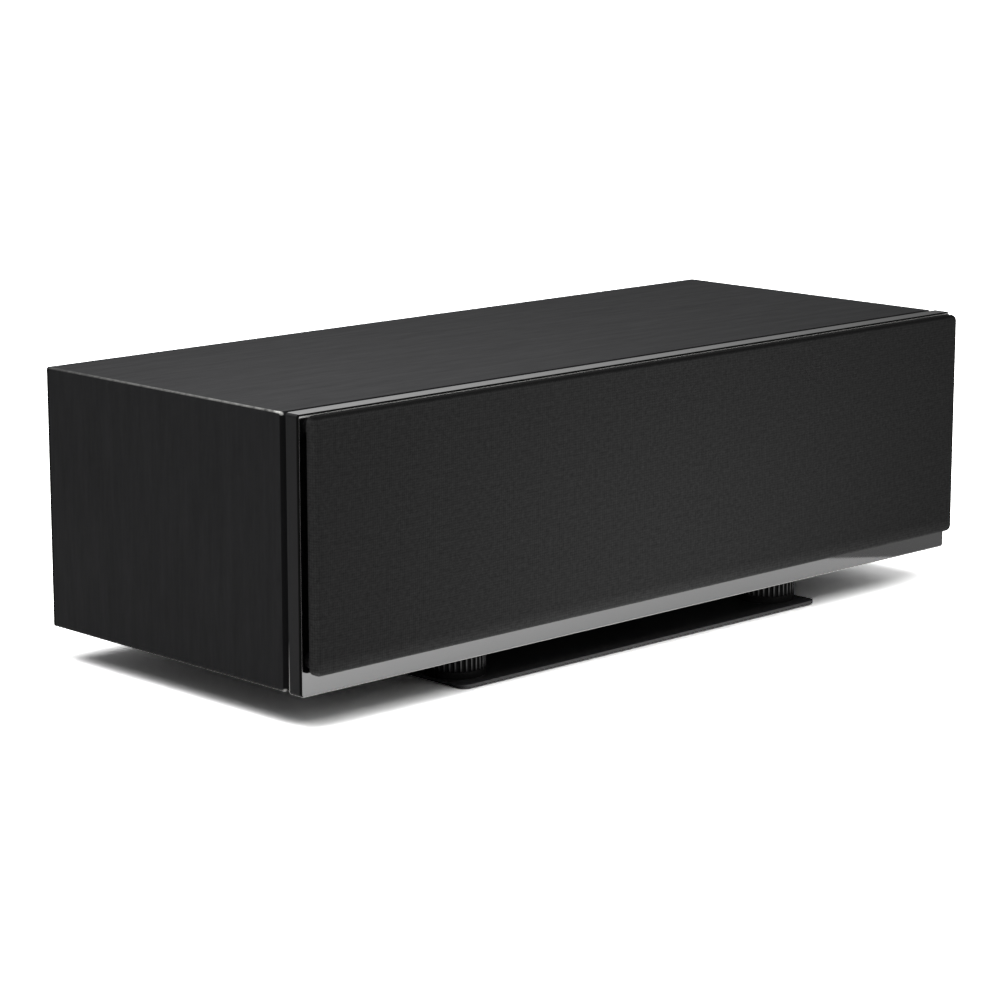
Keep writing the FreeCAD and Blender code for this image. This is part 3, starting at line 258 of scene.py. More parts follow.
def fibrous(name, colour, shade, length, width, depth, roughness, specular=0.2):
    """Matted fibres: short strands lying two ways, mottled, with a dry surface."""
    material, tree, shader = new_material(name)
    place = add(tree, "ShaderNodeTexCoord").outputs["Object"]
    strands = []
    for turn in STRAND_TURNS:
        lie = add(tree, "ShaderNodeMapping", Vector=place, Rotation=(turn, turn, turn),
                  Scale=(1 / length, 1 / width, 1 / width))
        strand = add(tree, "ShaderNodeTexNoise", Vector=lie.outputs[0], Scale=1.0, Detail=3.0)
        strands.append(strand.outputs[0])
    mat = add(tree, "ShaderNodeMath", {"operation": "MAXIMUM"}, _0=strands[0], _1=strands[1])
    tone = add(tree, "ShaderNodeMapRange", Value=mat.outputs[0], From_Min=0.42, From_Max=0.68)
    mixed = add(tree, "ShaderNodeMix", {"data_type": "RGBA"}, _0=tone.outputs[0], _6=linear(shade),
                _7=linear(colour))
    rough = add(tree, "ShaderNodeMapRange", Value=mat.outputs[0], To_Min=roughness, To_Max=roughness - 0.08)
    bump = add(tree, "ShaderNodeBump", Strength=0.6, Distance=depth, Height=mat.outputs[0])
    plug(tree, shader, Base_Color=mixed.outputs[2], Roughness=rough.outputs[0], Normal=bump.outputs[0],
         Specular_IOR_Level=specular)
    return material


# Sawn fibreboard: pale brown, mottled, quite matt
dress(fibrous("raw_fibreboard", "#b29a78", "#97805f", 3 * MM, 0.6 * MM, 0.05 * MM, 0.88),
      "inner_baffle", "brace_left", "brace_right")

# Crossover
# A glass-epoxy board screwed inside the rear panel, with two air-cored coils of enamelled wire,
# two sleeved film capacitors and two cement resistors soldered to it.
WIRE_PITCH = 0.9 * MM
WIRE_STAIN = 9 * MM
WIRE_ROUGH = 0.3
# A wave texture's scale for one band in a metre
WAVE_RATE = 0.31416


def wound(name, colour, shade, pitch):
    """Enamelled wire wound about the front-to-back line: a metal with a groove between turns."""
    material, tree, shader = new_material(name)
    place = add(tree, "ShaderNodeTexCoord").outputs["Object"]
    turns = add(tree, "ShaderNodeTexWave", {"bands_direction": "Y"}, Vector=place, Scale=WAVE_RATE / pitch)
    stain = add(tree, "ShaderNodeTexNoise", Vector=place, Scale=1 / WIRE_STAIN, Detail=3.0)
    tone = add(tree, "ShaderNodeMath", {"operation": "MULTIPLY"}, _0=turns.outputs["Fac"],
               _1=stain.outputs[0])
    tone = add(tree, "ShaderNodeMapRange", Value=tone.outputs[0], From_Min=0.0, From_Max=0.55)
    mixed = add(tree, "ShaderNodeMix", {"data_type": "RGBA"}, _0=tone.outputs[0], _6=linear(shade),
                _7=linear(colour))
    bump = add(tree, "ShaderNodeBump", Strength=0.8, Distance=0.3 * pitch, Height=turns.outputs["Fac"])
    plug(tree, shader, Base_Color=mixed.outputs[2], Metallic=1.0, Roughness=WIRE_ROUGH, Normal=bump.outputs[0])
    return material


# Enamelled copper: warm red-brown turns, each with a painted highlight along its crest and painted shade in
# the groove
copper = wound("enamelled_copper", "#c9854d", "#7d4522", WIRE_PITCH)
dress(copper, "crossover_inductors")
# Glass epoxy under its green mask, glossy film sleeves, and chalky white cement
dress(pressed("glass_epoxy_board", "#2f5a40", "#264a35", 0.5 * MM, 0.02 * MM, 0.4), "crossover_board")
dress(pressed("polyester_film_sleeve", "#b99a3a", "#a08430", 2 * MM, 0.02 * MM, 0.3),
      "crossover_capacitors")
dress(pressed("resistor_cement", "#e0dccf", "#cdc9bb", 0.6 * MM, 0.05 * MM, 0.8), "crossover_resistors")

# Wadding
# A loose pad of polyester fibre tucked against each end wall to damp the box. It is flat on the wall
# and crowned and lumpy where it faces the woofers.
WAD_THICK = 22 * MM
WAD_CELLS = 28
WAD_LUMP = 2.4 * MM
WAD_LEAST = 4 * MM
WAD_SPARE = 0.4 * MM
WAD_OFF_WALL = 0.1 * MM
WAD_REACH = 0.98
WAD_WAIST = 0.07
WAD_RIM = 0.38
WAD_CROWN = 0.5
LUMPS_PER_METRE = 38
wad_low, wad_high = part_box("wadding")
wad_middle = (wad_low + wad_high) / 2
wad_half = (wad_high - wad_low) / 2
shape = bmesh.new()
for wall_x, inward in ((wad_low.x, 1), (wad_high.x, -1)):
    fronts = {}
    backs = {}
    for row in range(WAD_CELLS + 1):
        for column in range(WAD_CELLS + 1):
            u, v = 2 * column / WAD_CELLS - 1, 2 * row / WAD_CELLS - 1
            y = wad_middle.y + u * wad_half.y * (WAD_REACH - WAD_WAIST * (1 - v * v))
            z = wad_middle.z + v * wad_half.z * (WAD_REACH - WAD_WAIST * (1 - u * u))
            crown = WAD_RIM + WAD_CROWN * math.sqrt((1 - u ** 4) * (1 - v ** 4))
            lump_place = Vector((wall_x * 9, y * LUMPS_PER_METRE, z * LUMPS_PER_METRE))
            lump = noise.fractal(lump_place, 0.8, 2.0, 3) * WAD_LUMP
            rise = max(WAD_LEAST, min(WAD_THICK - WAD_SPARE, crown * WAD_THICK + lump))
            fronts[row, column] = shape.verts.new((wall_x + inward * rise, y, z))
            backs[row, column] = shape.verts.new((wall_x + inward * WAD_OFF_WALL, y, z))
    for row in range(WAD_CELLS):
        for column in range(WAD_CELLS):
            ring = [(row, column), (row, column + 1), (row + 1, column + 1), (row + 1, column)]
            shape.faces.new([fronts[place] for place in ring])
            shape.faces.new([backs[place] for place in reversed(ring)])
    rim = [(0, n) for n in range(WAD_CELLS)] + [(n, WAD_CELLS) for n in range(WAD_CELLS)]
    rim += [(WAD_CELLS, n) for n in range(WAD_CELLS, 0, -1)] + [(n, 0) for n in range(WAD_CELLS, 0, -1)]
    for here, there in zip(rim, rim[1:] + rim[:1]):
        shape.faces.new([fronts[there], fronts[here], backs[here], backs[there]])
bmesh.ops.recalc_face_normals(shape, faces=shape.faces)
wad_mesh = bpy.data.meshes.new("wadding_pads")
shape.to_mesh(wad_mesh)
shape.free()
wad_mesh.shade_smooth()
wads = bpy.data.objects.new("wadding_pads", wad_mesh)
bpy.context.scene.collection.objects.link(wads)
# Polyester fibre: soft white, painted grey between the strands as painted shade in the hollows
wad_mesh.materials.append(fibrous("polyester_wadding", "#e6e6e2", "#b9b9b5", 6 * MM, 0.9 * MM, 0.8 * MM,
                                  0.98, 0.05))
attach(wads, "cabinet")
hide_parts("wadding")

# Reflex port
# A moulded plastic tube, glued into a hole in the cabinet's floor. Its flared mouth breathes in the gap
# above the base plate.
# ABS from a spark-eroded tool: a fine matt black
dress(pressed("port_abs", "#262627", "#1f1f20", 0.6 * MM, 0.03 * MM, 0.45), "port_tube")


# Terminals
# A moulded cup screwed to the rear panel. Each binding post is turned and gold-plated, and its
# insulated nut screws along it, black for the return and red for the signal.
def screw_tree():
    """Screws at points: a head with a cross recess on a plain shank, bearing at each point."""
    tree = bpy.data.node_groups.new("cross_recess_screws", "GeometryNodeTree")
    tree.interface.new_socket("Places", in_out="INPUT", socket_type="NodeSocketGeometry")
    for name in ("Head Radius", "Top Radius", "Head Height", "Shank Radius", "Shank Length", "Recess Reach",
                 "Recess Width", "Recess Depth"):
        tree.interface.new_socket(name, in_out="INPUT", socket_type="NodeSocketFloat")
    tree.interface.new_socket("Turn", in_out="INPUT", socket_type="NodeSocketVector")
    tree.interface.new_socket("Finish", in_out="INPUT", socket_type="NodeSocketMaterial")
    tree.interface.new_socket("Screws", in_out="OUTPUT", socket_type="NodeSocketGeometry")
    given = add(tree, "NodeGroupInput").outputs
    head = add(tree, "GeometryNodeMeshCone", Vertices=32, Radius_Bottom=given["Head Radius"],
               Radius_Top=given["Top Radius"], Depth=given["Head Height"]).outputs["Mesh"]
    length = add(tree, "ShaderNodeMath", {"operation": "MULTIPLY"}, _0=given["Recess Reach"],
                 _1=2.0).outputs[0]
    depth = add(tree, "ShaderNodeMath", {"operation": "MULTIPLY"}, _0=given["Recess Depth"],
                _1=2.0).outputs[0]
    lift = add(tree, "ShaderNodeCombineXYZ", Z=given["Head Height"]).outputs[0]
    bars = []
    for x, y in ((length, given["Recess Width"]), (given["Recess Width"], length)):
        size = add(tree, "ShaderNodeCombineXYZ", X=x, Y=y, Z=depth).outputs[0]
        block = add(tree, "GeometryNodeMeshCube", Size=size)
        bars.append(add(tree, "GeometryNodeTransform", Geometry=block.outputs["Mesh"],
                        Translation=lift).outputs["Geometry"])
    cross = add(tree, "GeometryNodeMeshBoolean", {"operation": "UNION", "solver": "EXACT"},
                _1=bars).outputs["Mesh"]
    head = add(tree, "GeometryNodeMeshBoolean", {"operation": "DIFFERENCE", "solver": "EXACT"}, _0=head,
               _1=cross).outputs["Mesh"]
    shank = add(tree, "GeometryNodeMeshCylinder", Vertices=20, Radius=given["Shank Radius"],
                Depth=given["Shank Length"]).outputs["Mesh"]
    half = add(tree, "ShaderNodeMath", {"operation": "MULTIPLY"}, _0=given["Shank Length"],
               _1=-0.5).outputs[0]
    shank = add(tree, "GeometryNodeTransform", Geometry=shank,
                Translation=add(tree, "ShaderNodeCombineXYZ", Z=half).outputs[0]).outputs["Geometry"]
    screw = add(tree, "GeometryNodeJoinGeometry", Geometry=[head, shank]).outputs["Geometry"]
    placed = add(tree, "GeometryNodeInstanceOnPoints", Points=given["Places"], Instance=screw,
                 Rotation=given["Turn"]).outputs["Instances"]
    solid = add(tree, "GeometryNodeRealizeInstances", Geometry=placed).outputs["Geometry"]
    finished = add(tree, "GeometryNodeSetMaterial", Geometry=solid,
                   Material=given["Finish"]).outputs["Geometry"]
    add(tree, "NodeGroupOutput", Screws=finished)
    return tree


def screws(name, node, places, turn, finish, sizes):
    """A set of screws as one plain mesh that stands for a CAD node."""
    points = bpy.data.meshes.new(name)
    points.from_pydata(places, [], [])
    piece = bpy.data.objects.new(name, points)
    modifier = piece.modifiers.new("screws", "NODES")
    modifier.node_group = CROSS_RECESS
    values = {"Turn": turn, "Finish": finish, **sizes}
    for socket in CROSS_RECESS.interface.items_tree:
        if socket.name in values:
            modifier[socket.identifier] = values[socket.name]
    bpy.context.scene.collection.objects.link(piece)
    evaluated = piece.evaluated_get(bpy.context.evaluated_depsgraph_get())
    solid = bpy.data.meshes.new_from_object(evaluated)
    piece.modifiers.clear()
    piece.data = solid
    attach(piece, "cabinet")
    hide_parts(node)


def bare_metal(name, colour, shade, roughness, pitch=None):
    """A metal as worked: a slow stain in its gloss, and rings about the front-to-back line if threaded."""
    material, tree, shader = new_material(name)
    place = add(tree, "ShaderNodeTexCoord").outputs["Object"]
    stain = add(tree, "ShaderNodeTexNoise", Vector=place, Scale=1 / METAL_STAIN, Detail=4.0, Roughness=0.6)
    tone = add(tree, "ShaderNodeMapRange", Value=stain.outputs[0], From_Min=0.35, From_Max=0.65)
    mixed = add(tree, "ShaderNodeMix", {"data_type": "RGBA"}, _0=tone.outputs[0], _6=linear(shade),
                _7=linear(colour))
    rough = add(tree, "ShaderNodeMapRange", Value=stain.outputs[0], From_Min=0.3, From_Max=0.7,
                To_Min=roughness - 0.05, To_Max=roughness + 0.07)
    if pitch:
        height = add(tree, "ShaderNodeTexWave", {"bands_direction": "Y"}, Vector=place,
                     Scale=WAVE_RATE / pitch)
        bump = add(tree, "ShaderNodeBump", Strength=0.8, Distance=0.25 * pitch, Height=height.outputs["Fac"])
    else:
        height = add(tree, "ShaderNodeTexNoise", Vector=place, Scale=1 / METAL_GRIT, Detail=2.0)
        bump = add(tree, "ShaderNodeBump", Strength=0.3, Distance=METAL_PIT, Height=height.outputs[0])
    plug(tree, shader, Base_Color=mixed.outputs[2], Metallic=1.0, Roughness=rough.outputs[0],
         Normal=bump.outputs[0])
    return material


CROSS_RECESS = screw_tree()
METAL_STAIN = 8 * MM
METAL_GRIT = 0.5 * MM
METAL_PIT = 0.01 * MM
THREAD_PITCH = 1.0 * MM
CUP_SCREW_HEAD = 3 * MM
CUP_SCREW_RISE = 1.2 * MM
# ABS from a spark-eroded tool: an even fine grain, dull in the recess
dress(pressed("terminal_abs", "#262627", "#1f1f20", 0.7 * MM, 0.05 * MM, 0.5), "terminal_cup")
# Gold-plated brass: warm and bright, with the thread showing as fine rings
dress(bare_metal("gold_plated_brass", "#e6c067", "#d3a94c", 0.2, THREAD_PITCH),
      "terminal_post_minus", "terminal_post_plus")
# Polished nylon: glossy black and red caps
dress(pressed("black_nylon", "#1e1e1f", "#18181a", 0.6 * MM, 0.01 * MM, 0.25, 0.5), "terminal_nut_minus")
dress(pressed("red_nylon", "#a31a1c", "#8d1416", 0.6 * MM, 0.01 * MM, 0.25, 0.5), "terminal_nut_plus")
# Black oxide on steel: a dark metal that catches a grey glint on each rim
black_oxide = bare_metal("black_oxide_steel", "#4a4a4c", "#3a3a3c", 0.38)
cup_low, cup_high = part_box("terminal_screws")
screws("terminal_screws_crossed", "terminal_screws",
       [(x, cup_high.y - CUP_SCREW_RISE, z)
        for x in (cup_low.x + CUP_SCREW_HEAD, cup_high.x - CUP_SCREW_HEAD)
        for z in (cup_low.z + CUP_SCREW_HEAD, cup_high.z - CUP_SCREW_HEAD)],
       (-math.pi / 2, 0, 0), black_oxide,
       {"Head Radius": CUP_SCREW_HEAD, "Top Radius": 2.5 * MM, "Head Height": CUP_SCREW_RISE,
        "Shank Radius": 1.6 * MM, "Shank Length": 11.8 * MM, "Recess Reach": 1.7 * MM,
        "Recess Width": 0.8 * MM, "Recess Depth": 0.8 * MM})

# Gasket
# A strip of black foam, glued between the box and the front baffle. It is set back from their edges, so
# that it reads as a dark line.
# Closed-cell foam: a dull black with small cells
dress(pressed("black_foam", "#151515", "#0d0d0d", 0.6 * MM, 0.2 * MM, 0.95, 0.05), "baffle_gasket")

# Front baffle
# A board in satin black whose face and upper edge carry a polished graphite lacquer, so that the strip
# below the grille mirrors the floor. The eased front edges are painted near-black as painted shade, and the
# foot, the brow and the rear edge carry painted highlights.
baffle_low, baffle_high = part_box("front_baffle")
LACQUER = "#909090"
LACQUER_BODY = "#181819"
LACQUER_HIGHLIGHT = "#d2d2d0"
LACQUER_EASED_SHADE = "#070707"
LACQUER_MIST = 25 * MM
POLISHED_ROUGH = 0.06
SATIN_ROUGH = 0.4
SATIN_GLOSS = 0.1
EASED_ROUGH = 0.95
SQUARE_FROM = 0.93
SQUARE_WHOLE = 0.985
BROW_FOOT = 2.1 * MM
BROW_WHOLE = 1.8 * MM
CREST_FROM = 0.9 * MM
CREST_WHOLE = 1.1 * MM
EASED_FROM = 1.8 * MM
EASED_WHOLE = 1.4 * MM
REAR_HIGHLIGHT_FROM = 0.7 * MM
REAR_HIGHLIGHT_WHOLE = 0.3 * MM
REAR_HIGHLIGHT_TOP = 30 * MM
REAR_HIGHLIGHT_FOOT = 2 * MM
REAR_HIGHLIGHT_SHARE = 0.6
FOOT_HIGHLIGHT_FROM = 0.8 * MM
FOOT_HIGHLIGHT_WHOLE = 0.4 * MM
FOOT_HIGHLIGHT_SHARE = 0.7
# Polished graphite lacquer: a dim grey mirror on the face and the lid, satin black on the sides
lacquer, tree, shader = new_material("graphite_lacquer")
coords = add(tree, "ShaderNodeTexCoord").outputs
facing = add(tree, "ShaderNodeSeparateXYZ", Vector=coords["Normal"]).outputs
spot = add(tree, "ShaderNodeSeparateXYZ", Vector=coords["Object"]).outputs
face = add(tree, "ShaderNodeMapRange", Value=facing["Y"], From_Min=-SQUARE_FROM,
           From_Max=-SQUARE_WHOLE).outputs[0]
lid = add(tree, "ShaderNodeMapRange", Value=facing["Z"], From_Min=SQUARE_FROM,
          From_Max=SQUARE_WHOLE).outputs[0]
brow = add(tree, "ShaderNodeMapRange", Value=spot["Z"], From_Min=baffle_high.z - BROW_FOOT,
           From_Max=baffle_high.z - BROW_WHOLE).outputs[0]
crest = add(tree, "ShaderNodeMapRange", Value=spot["Z"], From_Min=baffle_high.z - CREST_FROM,
            From_Max=baffle_high.z - CREST_WHOLE).outputs[0]
brow = add(tree, "ShaderNodeMath", {"operation": "MULTIPLY"}, _0=face, _1=brow).outputs[0]
face = add(tree, "ShaderNodeMath", {"operation": "SUBTRACT"}, _0=face, _1=brow).outputs[0]
brow = add(tree, "ShaderNodeMath", {"operation": "MULTIPLY"}, _0=brow, _1=crest).outputs[0]
polished = add(tree, "ShaderNodeMath", {"operation": "MAXIMUM"}, _0=face, _1=lid).outputs[0]
eased = add(tree, "ShaderNodeMapRange", Value=spot["Y"], From_Min=baffle_low.y + EASED_FROM,
            From_Max=baffle_low.y + EASED_WHOLE).outputs[0]
rear = add(tree, "ShaderNodeMapRange", Value=spot["Y"], From_Min=baffle_high.y - REAR_HIGHLIGHT_FROM,
           From_Max=baffle_high.y - REAR_HIGHLIGHT_WHOLE).outputs[0]
foot = add(tree, "ShaderNodeMapRange", Value=spot["Z"], From_Min=baffle_low.z + REAR_HIGHLIGHT_TOP,
           From_Max=baffle_low.z + REAR_HIGHLIGHT_FOOT, To_Max=REAR_HIGHLIGHT_SHARE).outputs[0]
rear = add(tree, "ShaderNodeMath", {"operation": "MULTIPLY"}, _0=rear, _1=foot).outputs[0]
edge = add(tree, "ShaderNodeMapRange", Value=spot["Z"], From_Min=baffle_low.z + FOOT_HIGHLIGHT_FROM,
           From_Max=baffle_low.z + FOOT_HIGHLIGHT_WHOLE, To_Max=FOOT_HIGHLIGHT_SHARE).outputs[0]
edge_highlights = add(tree, "ShaderNodeMath", {"operation": "MAXIMUM"}, _0=rear, _1=edge).outputs[0]
edge_highlights = add(tree, "ShaderNodeMath", {"operation": "MAXIMUM"}, _0=edge_highlights, _1=brow).outputs[0]
mist = add(tree, "ShaderNodeTexNoise", Vector=coords["Object"], Scale=1 / LACQUER_MIST, Detail=3.0).outputs[0]
# Painted shade darkens the eased edges; painted highlights lighten the foot, the brow and the rear edge near
# the foot.
colour = add(tree, "ShaderNodeMix", {"data_type": "RGBA"}, _0=eased, _6=linear(LACQUER_BODY),
             _7=linear(LACQUER_EASED_SHADE)).outputs[2]
colour = add(tree, "ShaderNodeMix", {"data_type": "RGBA"}, _0=edge_highlights, _6=colour,
             _7=linear(LACQUER_HIGHLIGHT)).outputs[2]
colour = add(tree, "ShaderNodeMix", {"data_type": "RGBA"}, _0=polished, _6=colour,
             _7=linear(LACQUER)).outputs[2]
rough = add(tree, "ShaderNodeMapRange", Value=eased, To_Min=SATIN_ROUGH, To_Max=EASED_ROUGH).outputs[0]
rough = add(tree, "ShaderNodeMix", {"data_type": "FLOAT"}, _0=polished, _2=rough,
            _3=POLISHED_ROUGH).outputs[0]
mist = add(tree, "ShaderNodeMapRange", Value=mist, To_Min=-0.02, To_Max=0.02).outputs[0]
rough = add(tree, "ShaderNodeMath", {"operation": "ADD"}, _0=rough, _1=mist).outputs[0]
plug(tree, shader, Base_Color=colour, Metallic=polished, Roughness=rough, Specular_IOR_Level=SATIN_GLOSS)
dress(lacquer, "front_baffle")


# Mid-woofers
# Each has a pressed basket let into the baffle, a paper cone with a dust cap, a rubber half-roll round
# it and a folded cloth spider behind it, on a coil in the gap of a ferrite motor.
def woven(name, thread, gap, pitch, coordinate, roughness, specular, depth=0.5):
    """Plain weave: two sets of threads that pass over and under each other, paler at their crowns and darker
    in the gaps, as painted shade of the weave.
    """
    material, tree, shader = new_material(name)
    place = add(tree, "ShaderNodeTexCoord").outputs[coordinate]
    upright = "Y" if coordinate == "UV" else "Z"
    waves = []
    for direction in ("X", upright):
        wave = add(tree, "ShaderNodeTexWave", {"bands_direction": direction}, Vector=place,
                   Scale=WAVE_RATE / (2 * pitch), Distortion=0.35, Detail=2.0, Detail_Scale=1.0)
        wave = add(tree, "ShaderNodeMapRange", Value=wave.outputs["Fac"], To_Min=-1.0, To_Max=1.0)
        waves.append(wave.outputs[0])
    over = add(tree, "ShaderNodeMath", {"operation": "MULTIPLY"}, _0=waves[0], _1=waves[1])
    over = add(tree, "ShaderNodeMapRange", Value=over.outputs[0], From_Min=-0.25, From_Max=0.25)
    crowns = [add(tree, "ShaderNodeMath", {"operation": "ABSOLUTE"}, _0=wave).outputs[0] for wave in waves]
    height = add(tree, "ShaderNodeMix", {"data_type": "FLOAT"}, _0=over.outputs[0], _2=crowns[0],
                 _3=crowns[1]).outputs[0]
    slub = add(tree, "ShaderNodeTexNoise", Vector=place, Scale=1 / (1.6 * pitch), Detail=3.0, Roughness=0.6)
    crown_share = add(tree, "ShaderNodeMath", {"operation": "MULTIPLY"}, _0=height, _1=0.45)
    tone = add(tree, "ShaderNodeMath", {"operation": "MULTIPLY_ADD"}, _0=slub.outputs[0], _1=1.1,
               _2=crown_share.outputs[0])
    tone = add(tree, "ShaderNodeMapRange", Value=tone.outputs[0], From_Min=0.35, From_Max=1.25).outputs[0]
    colour = add(tree, "ShaderNodeMix", {"data_type": "RGBA"}, _0=tone, _6=linear(gap),
                 _7=linear(thread)).outputs[2]
    bump = add(tree, "ShaderNodeBump", Strength=depth, Distance=0.2 * pitch, Height=height)
    plug(tree, shader, Base_Color=colour, Roughness=roughness, Normal=bump.outputs[0],
         Specular_IOR_Level=specular)
    return material


def flexible(name, node, finish, cuts=()):
    """A merged, smooth copy of a soft ring, or a slice of it, in place of its CAD node."""
    shape = bmesh.new()
    shape.from_mesh(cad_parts[node].data)
    bmesh.ops.remove_doubles(shape, verts=shape.verts, dist=SAME_POINT)
    for middle, away in cuts:
        bmesh.ops.bisect_plane(shape, geom=shape.verts[:] + shape.edges[:] + shape.faces[:],
                               dist=SAME_POINT, plane_co=middle, plane_no=away, clear_outer=True)
        bmesh.ops.holes_fill(shape, edges=[edge for edge in shape.edges if edge.is_boundary])
    mesh = bpy.data.meshes.new(name)
    shape.to_mesh(mesh)
    shape.free()
    mesh.shade_smooth()
    mesh.set_sharp_from_angle(angle=SHARP_FOLD)
    mesh.materials.append(finish)
    piece = bpy.data.objects.new(name, mesh)
    bpy.context.scene.collection.objects.link(piece)
    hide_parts(node)
    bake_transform(piece)


def sliced(node, finish):
    """A soft disc cut like a cake into slices, each a smooth copy of its share of the disc."""
    low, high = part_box(node)
    hub = (low + high) / 2
    for number in range(DISC_SLICES):
        angles = [math.tau * (number + share) / DISC_SLICES for share in (-0.5, 0.0, 0.5)]
        before, out, after = [Vector((math.cos(angle), 0, math.sin(angle))) for angle in angles]
        cuts = ((hub, Vector((-after.z, 0, after.x))), (hub, Vector((before.z, 0, -before.x))))
        flexible(f"{node}_{number + 1}", node,
                 finish, cuts)


SAME_POINT = 0.001 * MM
SHARP_FOLD = math.radians(40)
DISC_SLICES = 8
# Powder coat on pressed steel: satin black with a slight orange peel
basket_paint = pressed("basket_powder_coat", "#2b2b2c", "#242426", 0.8 * MM, 0.03 * MM, 0.42)
# Zinc-plated steel: cool grey with a soft bloom
zinc_steel = bare_metal("zinc_plated_steel", "#b9babc", "#a4a6aa", 0.34)
# Sintered ferrite: a dense dark grey with a dry ground surface
ferrite = pressed("sintered_ferrite", "#3b3b3d", "#2f2f32", 0.4 * MM, 0.03 * MM, 0.72, 0.2)
# Coated paper pulp: short dark fibres under a dull coat
cone_paper = fibrous("coated_cone_paper", "#3a3a3b", "#28282a", 3.5 * MM, 0.7 * MM, 0.06 * MM, 0.72)
# Impregnated cotton: a stiff amber weave
spider_cotton = woven("impregnated_cotton", "#c3a35f", "#8d7139", 0.9 * MM, "Object", 0.8, 0.2)
# Butyl rubber: a smooth dark skin with a broad soft sheen
butyl = pressed("butyl_rubber", "#232324", "#1c1c1d", 0.9 * MM, 0.01 * MM, 0.48, 0.35)
for side in ("left", "right"):
    dress(basket_paint, f"woofer_{side}_basket")
    dress(cone_paper, f"woofer_{side}_cone", f"woofer_{side}_dust_cap")
    dress(copper, f"woofer_{side}_voice_coil")
    dress(zinc_steel, f"woofer_{side}_top_plate", f"woofer_{side}_yoke")
    dress(ferrite, f"woofer_{side}_magnet")
    flexible(f"woofer_{side}_surround_soft", f"woofer_{side}_surround",
             butyl)
    sliced(f"woofer_{side}_spider", spider_cotton)

# Tweeter
# A soft dome of coated silk on a small coil, behind a moulded faceplate with a shallow flare. Its
# ring magnet and sealed rear chamber are glued in a stack behind it.
# Doped silk: a fine weave under a slightly tacky coat
silk = woven("doped_silk", "#2c2c2d", "#1c1c1d", 0.6 * MM, "Object", 0.5, 0.4, 0.3)
# ABS from a fine-etched tool: satin black
dress(pressed("faceplate_abs", "#262627", "#1f1f20", 0.6 * MM, 0.02 * MM, 0.42), "tweeter_faceplate",
      "tweeter_rear_chamber")
dress(silk, "tweeter_dome")
dress(copper, "tweeter_voice_coil")
dress(zinc_steel, "tweeter_top_plate", "tweeter_yoke")
dress(ferrite, "tweeter_magnet")
sliced("tweeter_surround", silk)

# Driver screws
# Black steel pan heads, driven through the flanges into both baffles, six for each woofer and four for
# the tweeter.
WOOFER_BOLTS = 61.2 * MM
TWEETER_BOLTS = 44 * MM
holes = []
for node, circle, count in (("woofer_left_basket", WOOFER_BOLTS, 6),
                            ("woofer_right_basket", WOOFER_BOLTS, 6),
                            ("tweeter_faceplate", TWEETER_BOLTS, 4)):
    low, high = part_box(node)
    for number in range(count):
        angle = math.tau * number / count
        holes.append(((low.x + high.x) / 2 + circle * math.cos(angle), baffle_low.y,
                      (low.z + high.z) / 2 + circle * math.sin(angle)))
screws("driver_screws_crossed", "driver_screws", holes, (math.pi / 2, 0, 0), black_oxide,
       {"Head Radius": 3.2 * MM, "Top Radius": 2.6 * MM, "Head Height": 1.6 * MM, "Shank Radius": 1.8 * MM,
        "Shank Length": 22 * MM, "Recess Reach": 1.8 * MM, "Recess Width": 0.9 * MM,
        "Recess Depth": 1.1 * MM})

# Base
# A plate of sheet steel in black powder coat, with four fluted mouldings between it and the box.
# Countersunk screws hold plate and mouldings to the box, and rubber pads keep the plate off the floor.
# Powder coat: a near-black satin with a fine peel, with a painted grey highlight along the front and rear
# edges
PLATE_EDGE_HIGHLIGHT = "#444444"
coated = pressed("plate_powder_coat", "#3a3a3b", "#343435", 0.7 * MM, 0.04 * MM, 0.5, 0.1)
tree = coated.node_tree
shader = tree.nodes["Principled BSDF"]
coat = shader.inputs["Base Color"].links[0].from_socket
facing = add(tree, "ShaderNodeTexCoord").outputs["Normal"]
front = add(tree, "ShaderNodeSeparateXYZ", Vector=facing).outputs["Y"]
front = add(tree, "ShaderNodeMath", {"operation": "ABSOLUTE"}, _0=front).outputs[0]
# Painted highlight: faces turned to the front and rear are drawn grey.
plate_highlight = add(tree, "ShaderNodeMapRange", Value=front, From_Min=0.7, From_Max=0.98).outputs[0]
coat = add(tree, "ShaderNodeMix", {"data_type": "RGBA"}, _0=plate_highlight, _6=coat, _7=linear(PLATE_EDGE_HIGHLIGHT)).outputs[2]
plug(tree, shader, Base_Color=coat)
dress(coated, "base_plate")
# Polished ABS: near-black, with a painted grey highlight along the crown of each rib above the plain foot band
RIB_CROWN_HIGHLIGHT = "#4c4c4c"
FLUTE = "#080808"
PILLAR_BAND = 4.0 * MM
CROWN_FROM = 0.2 * MM
CROWN_WHOLE = 0.04 * MM
PILLARS = ("pillar_front_left", "pillar_front_right", "pillar_rear_left", "pillar_rear_right")
low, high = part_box("pillar_front_left")
far_low, far_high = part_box("pillar_rear_right")
between = (low.y + far_high.y) / 2
pillar_axis = ((far_low.x + far_high.x) / 2, (far_high.y - low.y) / 2 - (far_high.y - far_low.y) / 2, 0)
reach = (high.x - low.x) / 2
ribbed = pressed("pillar_abs", "#1d1d1e", "#161617", 0.5 * MM, 0.01 * MM, 0.3, 0.06)
tree = ribbed.node_tree
spot = add(tree, "ShaderNodeTexCoord").outputs["Object"]
quarter = add(tree, "ShaderNodeVectorMath", {"operation": "SUBTRACT"}, _0=spot, _1=(0, between, 0)).outputs[0]
quarter = add(tree, "ShaderNodeVectorMath", {"operation": "ABSOLUTE"}, _0=quarter).outputs[0]
quarter = add(tree, "ShaderNodeVectorMath", {"operation": "MULTIPLY"}, _0=quarter, _1=(1, 1, 0)).outputs[0]
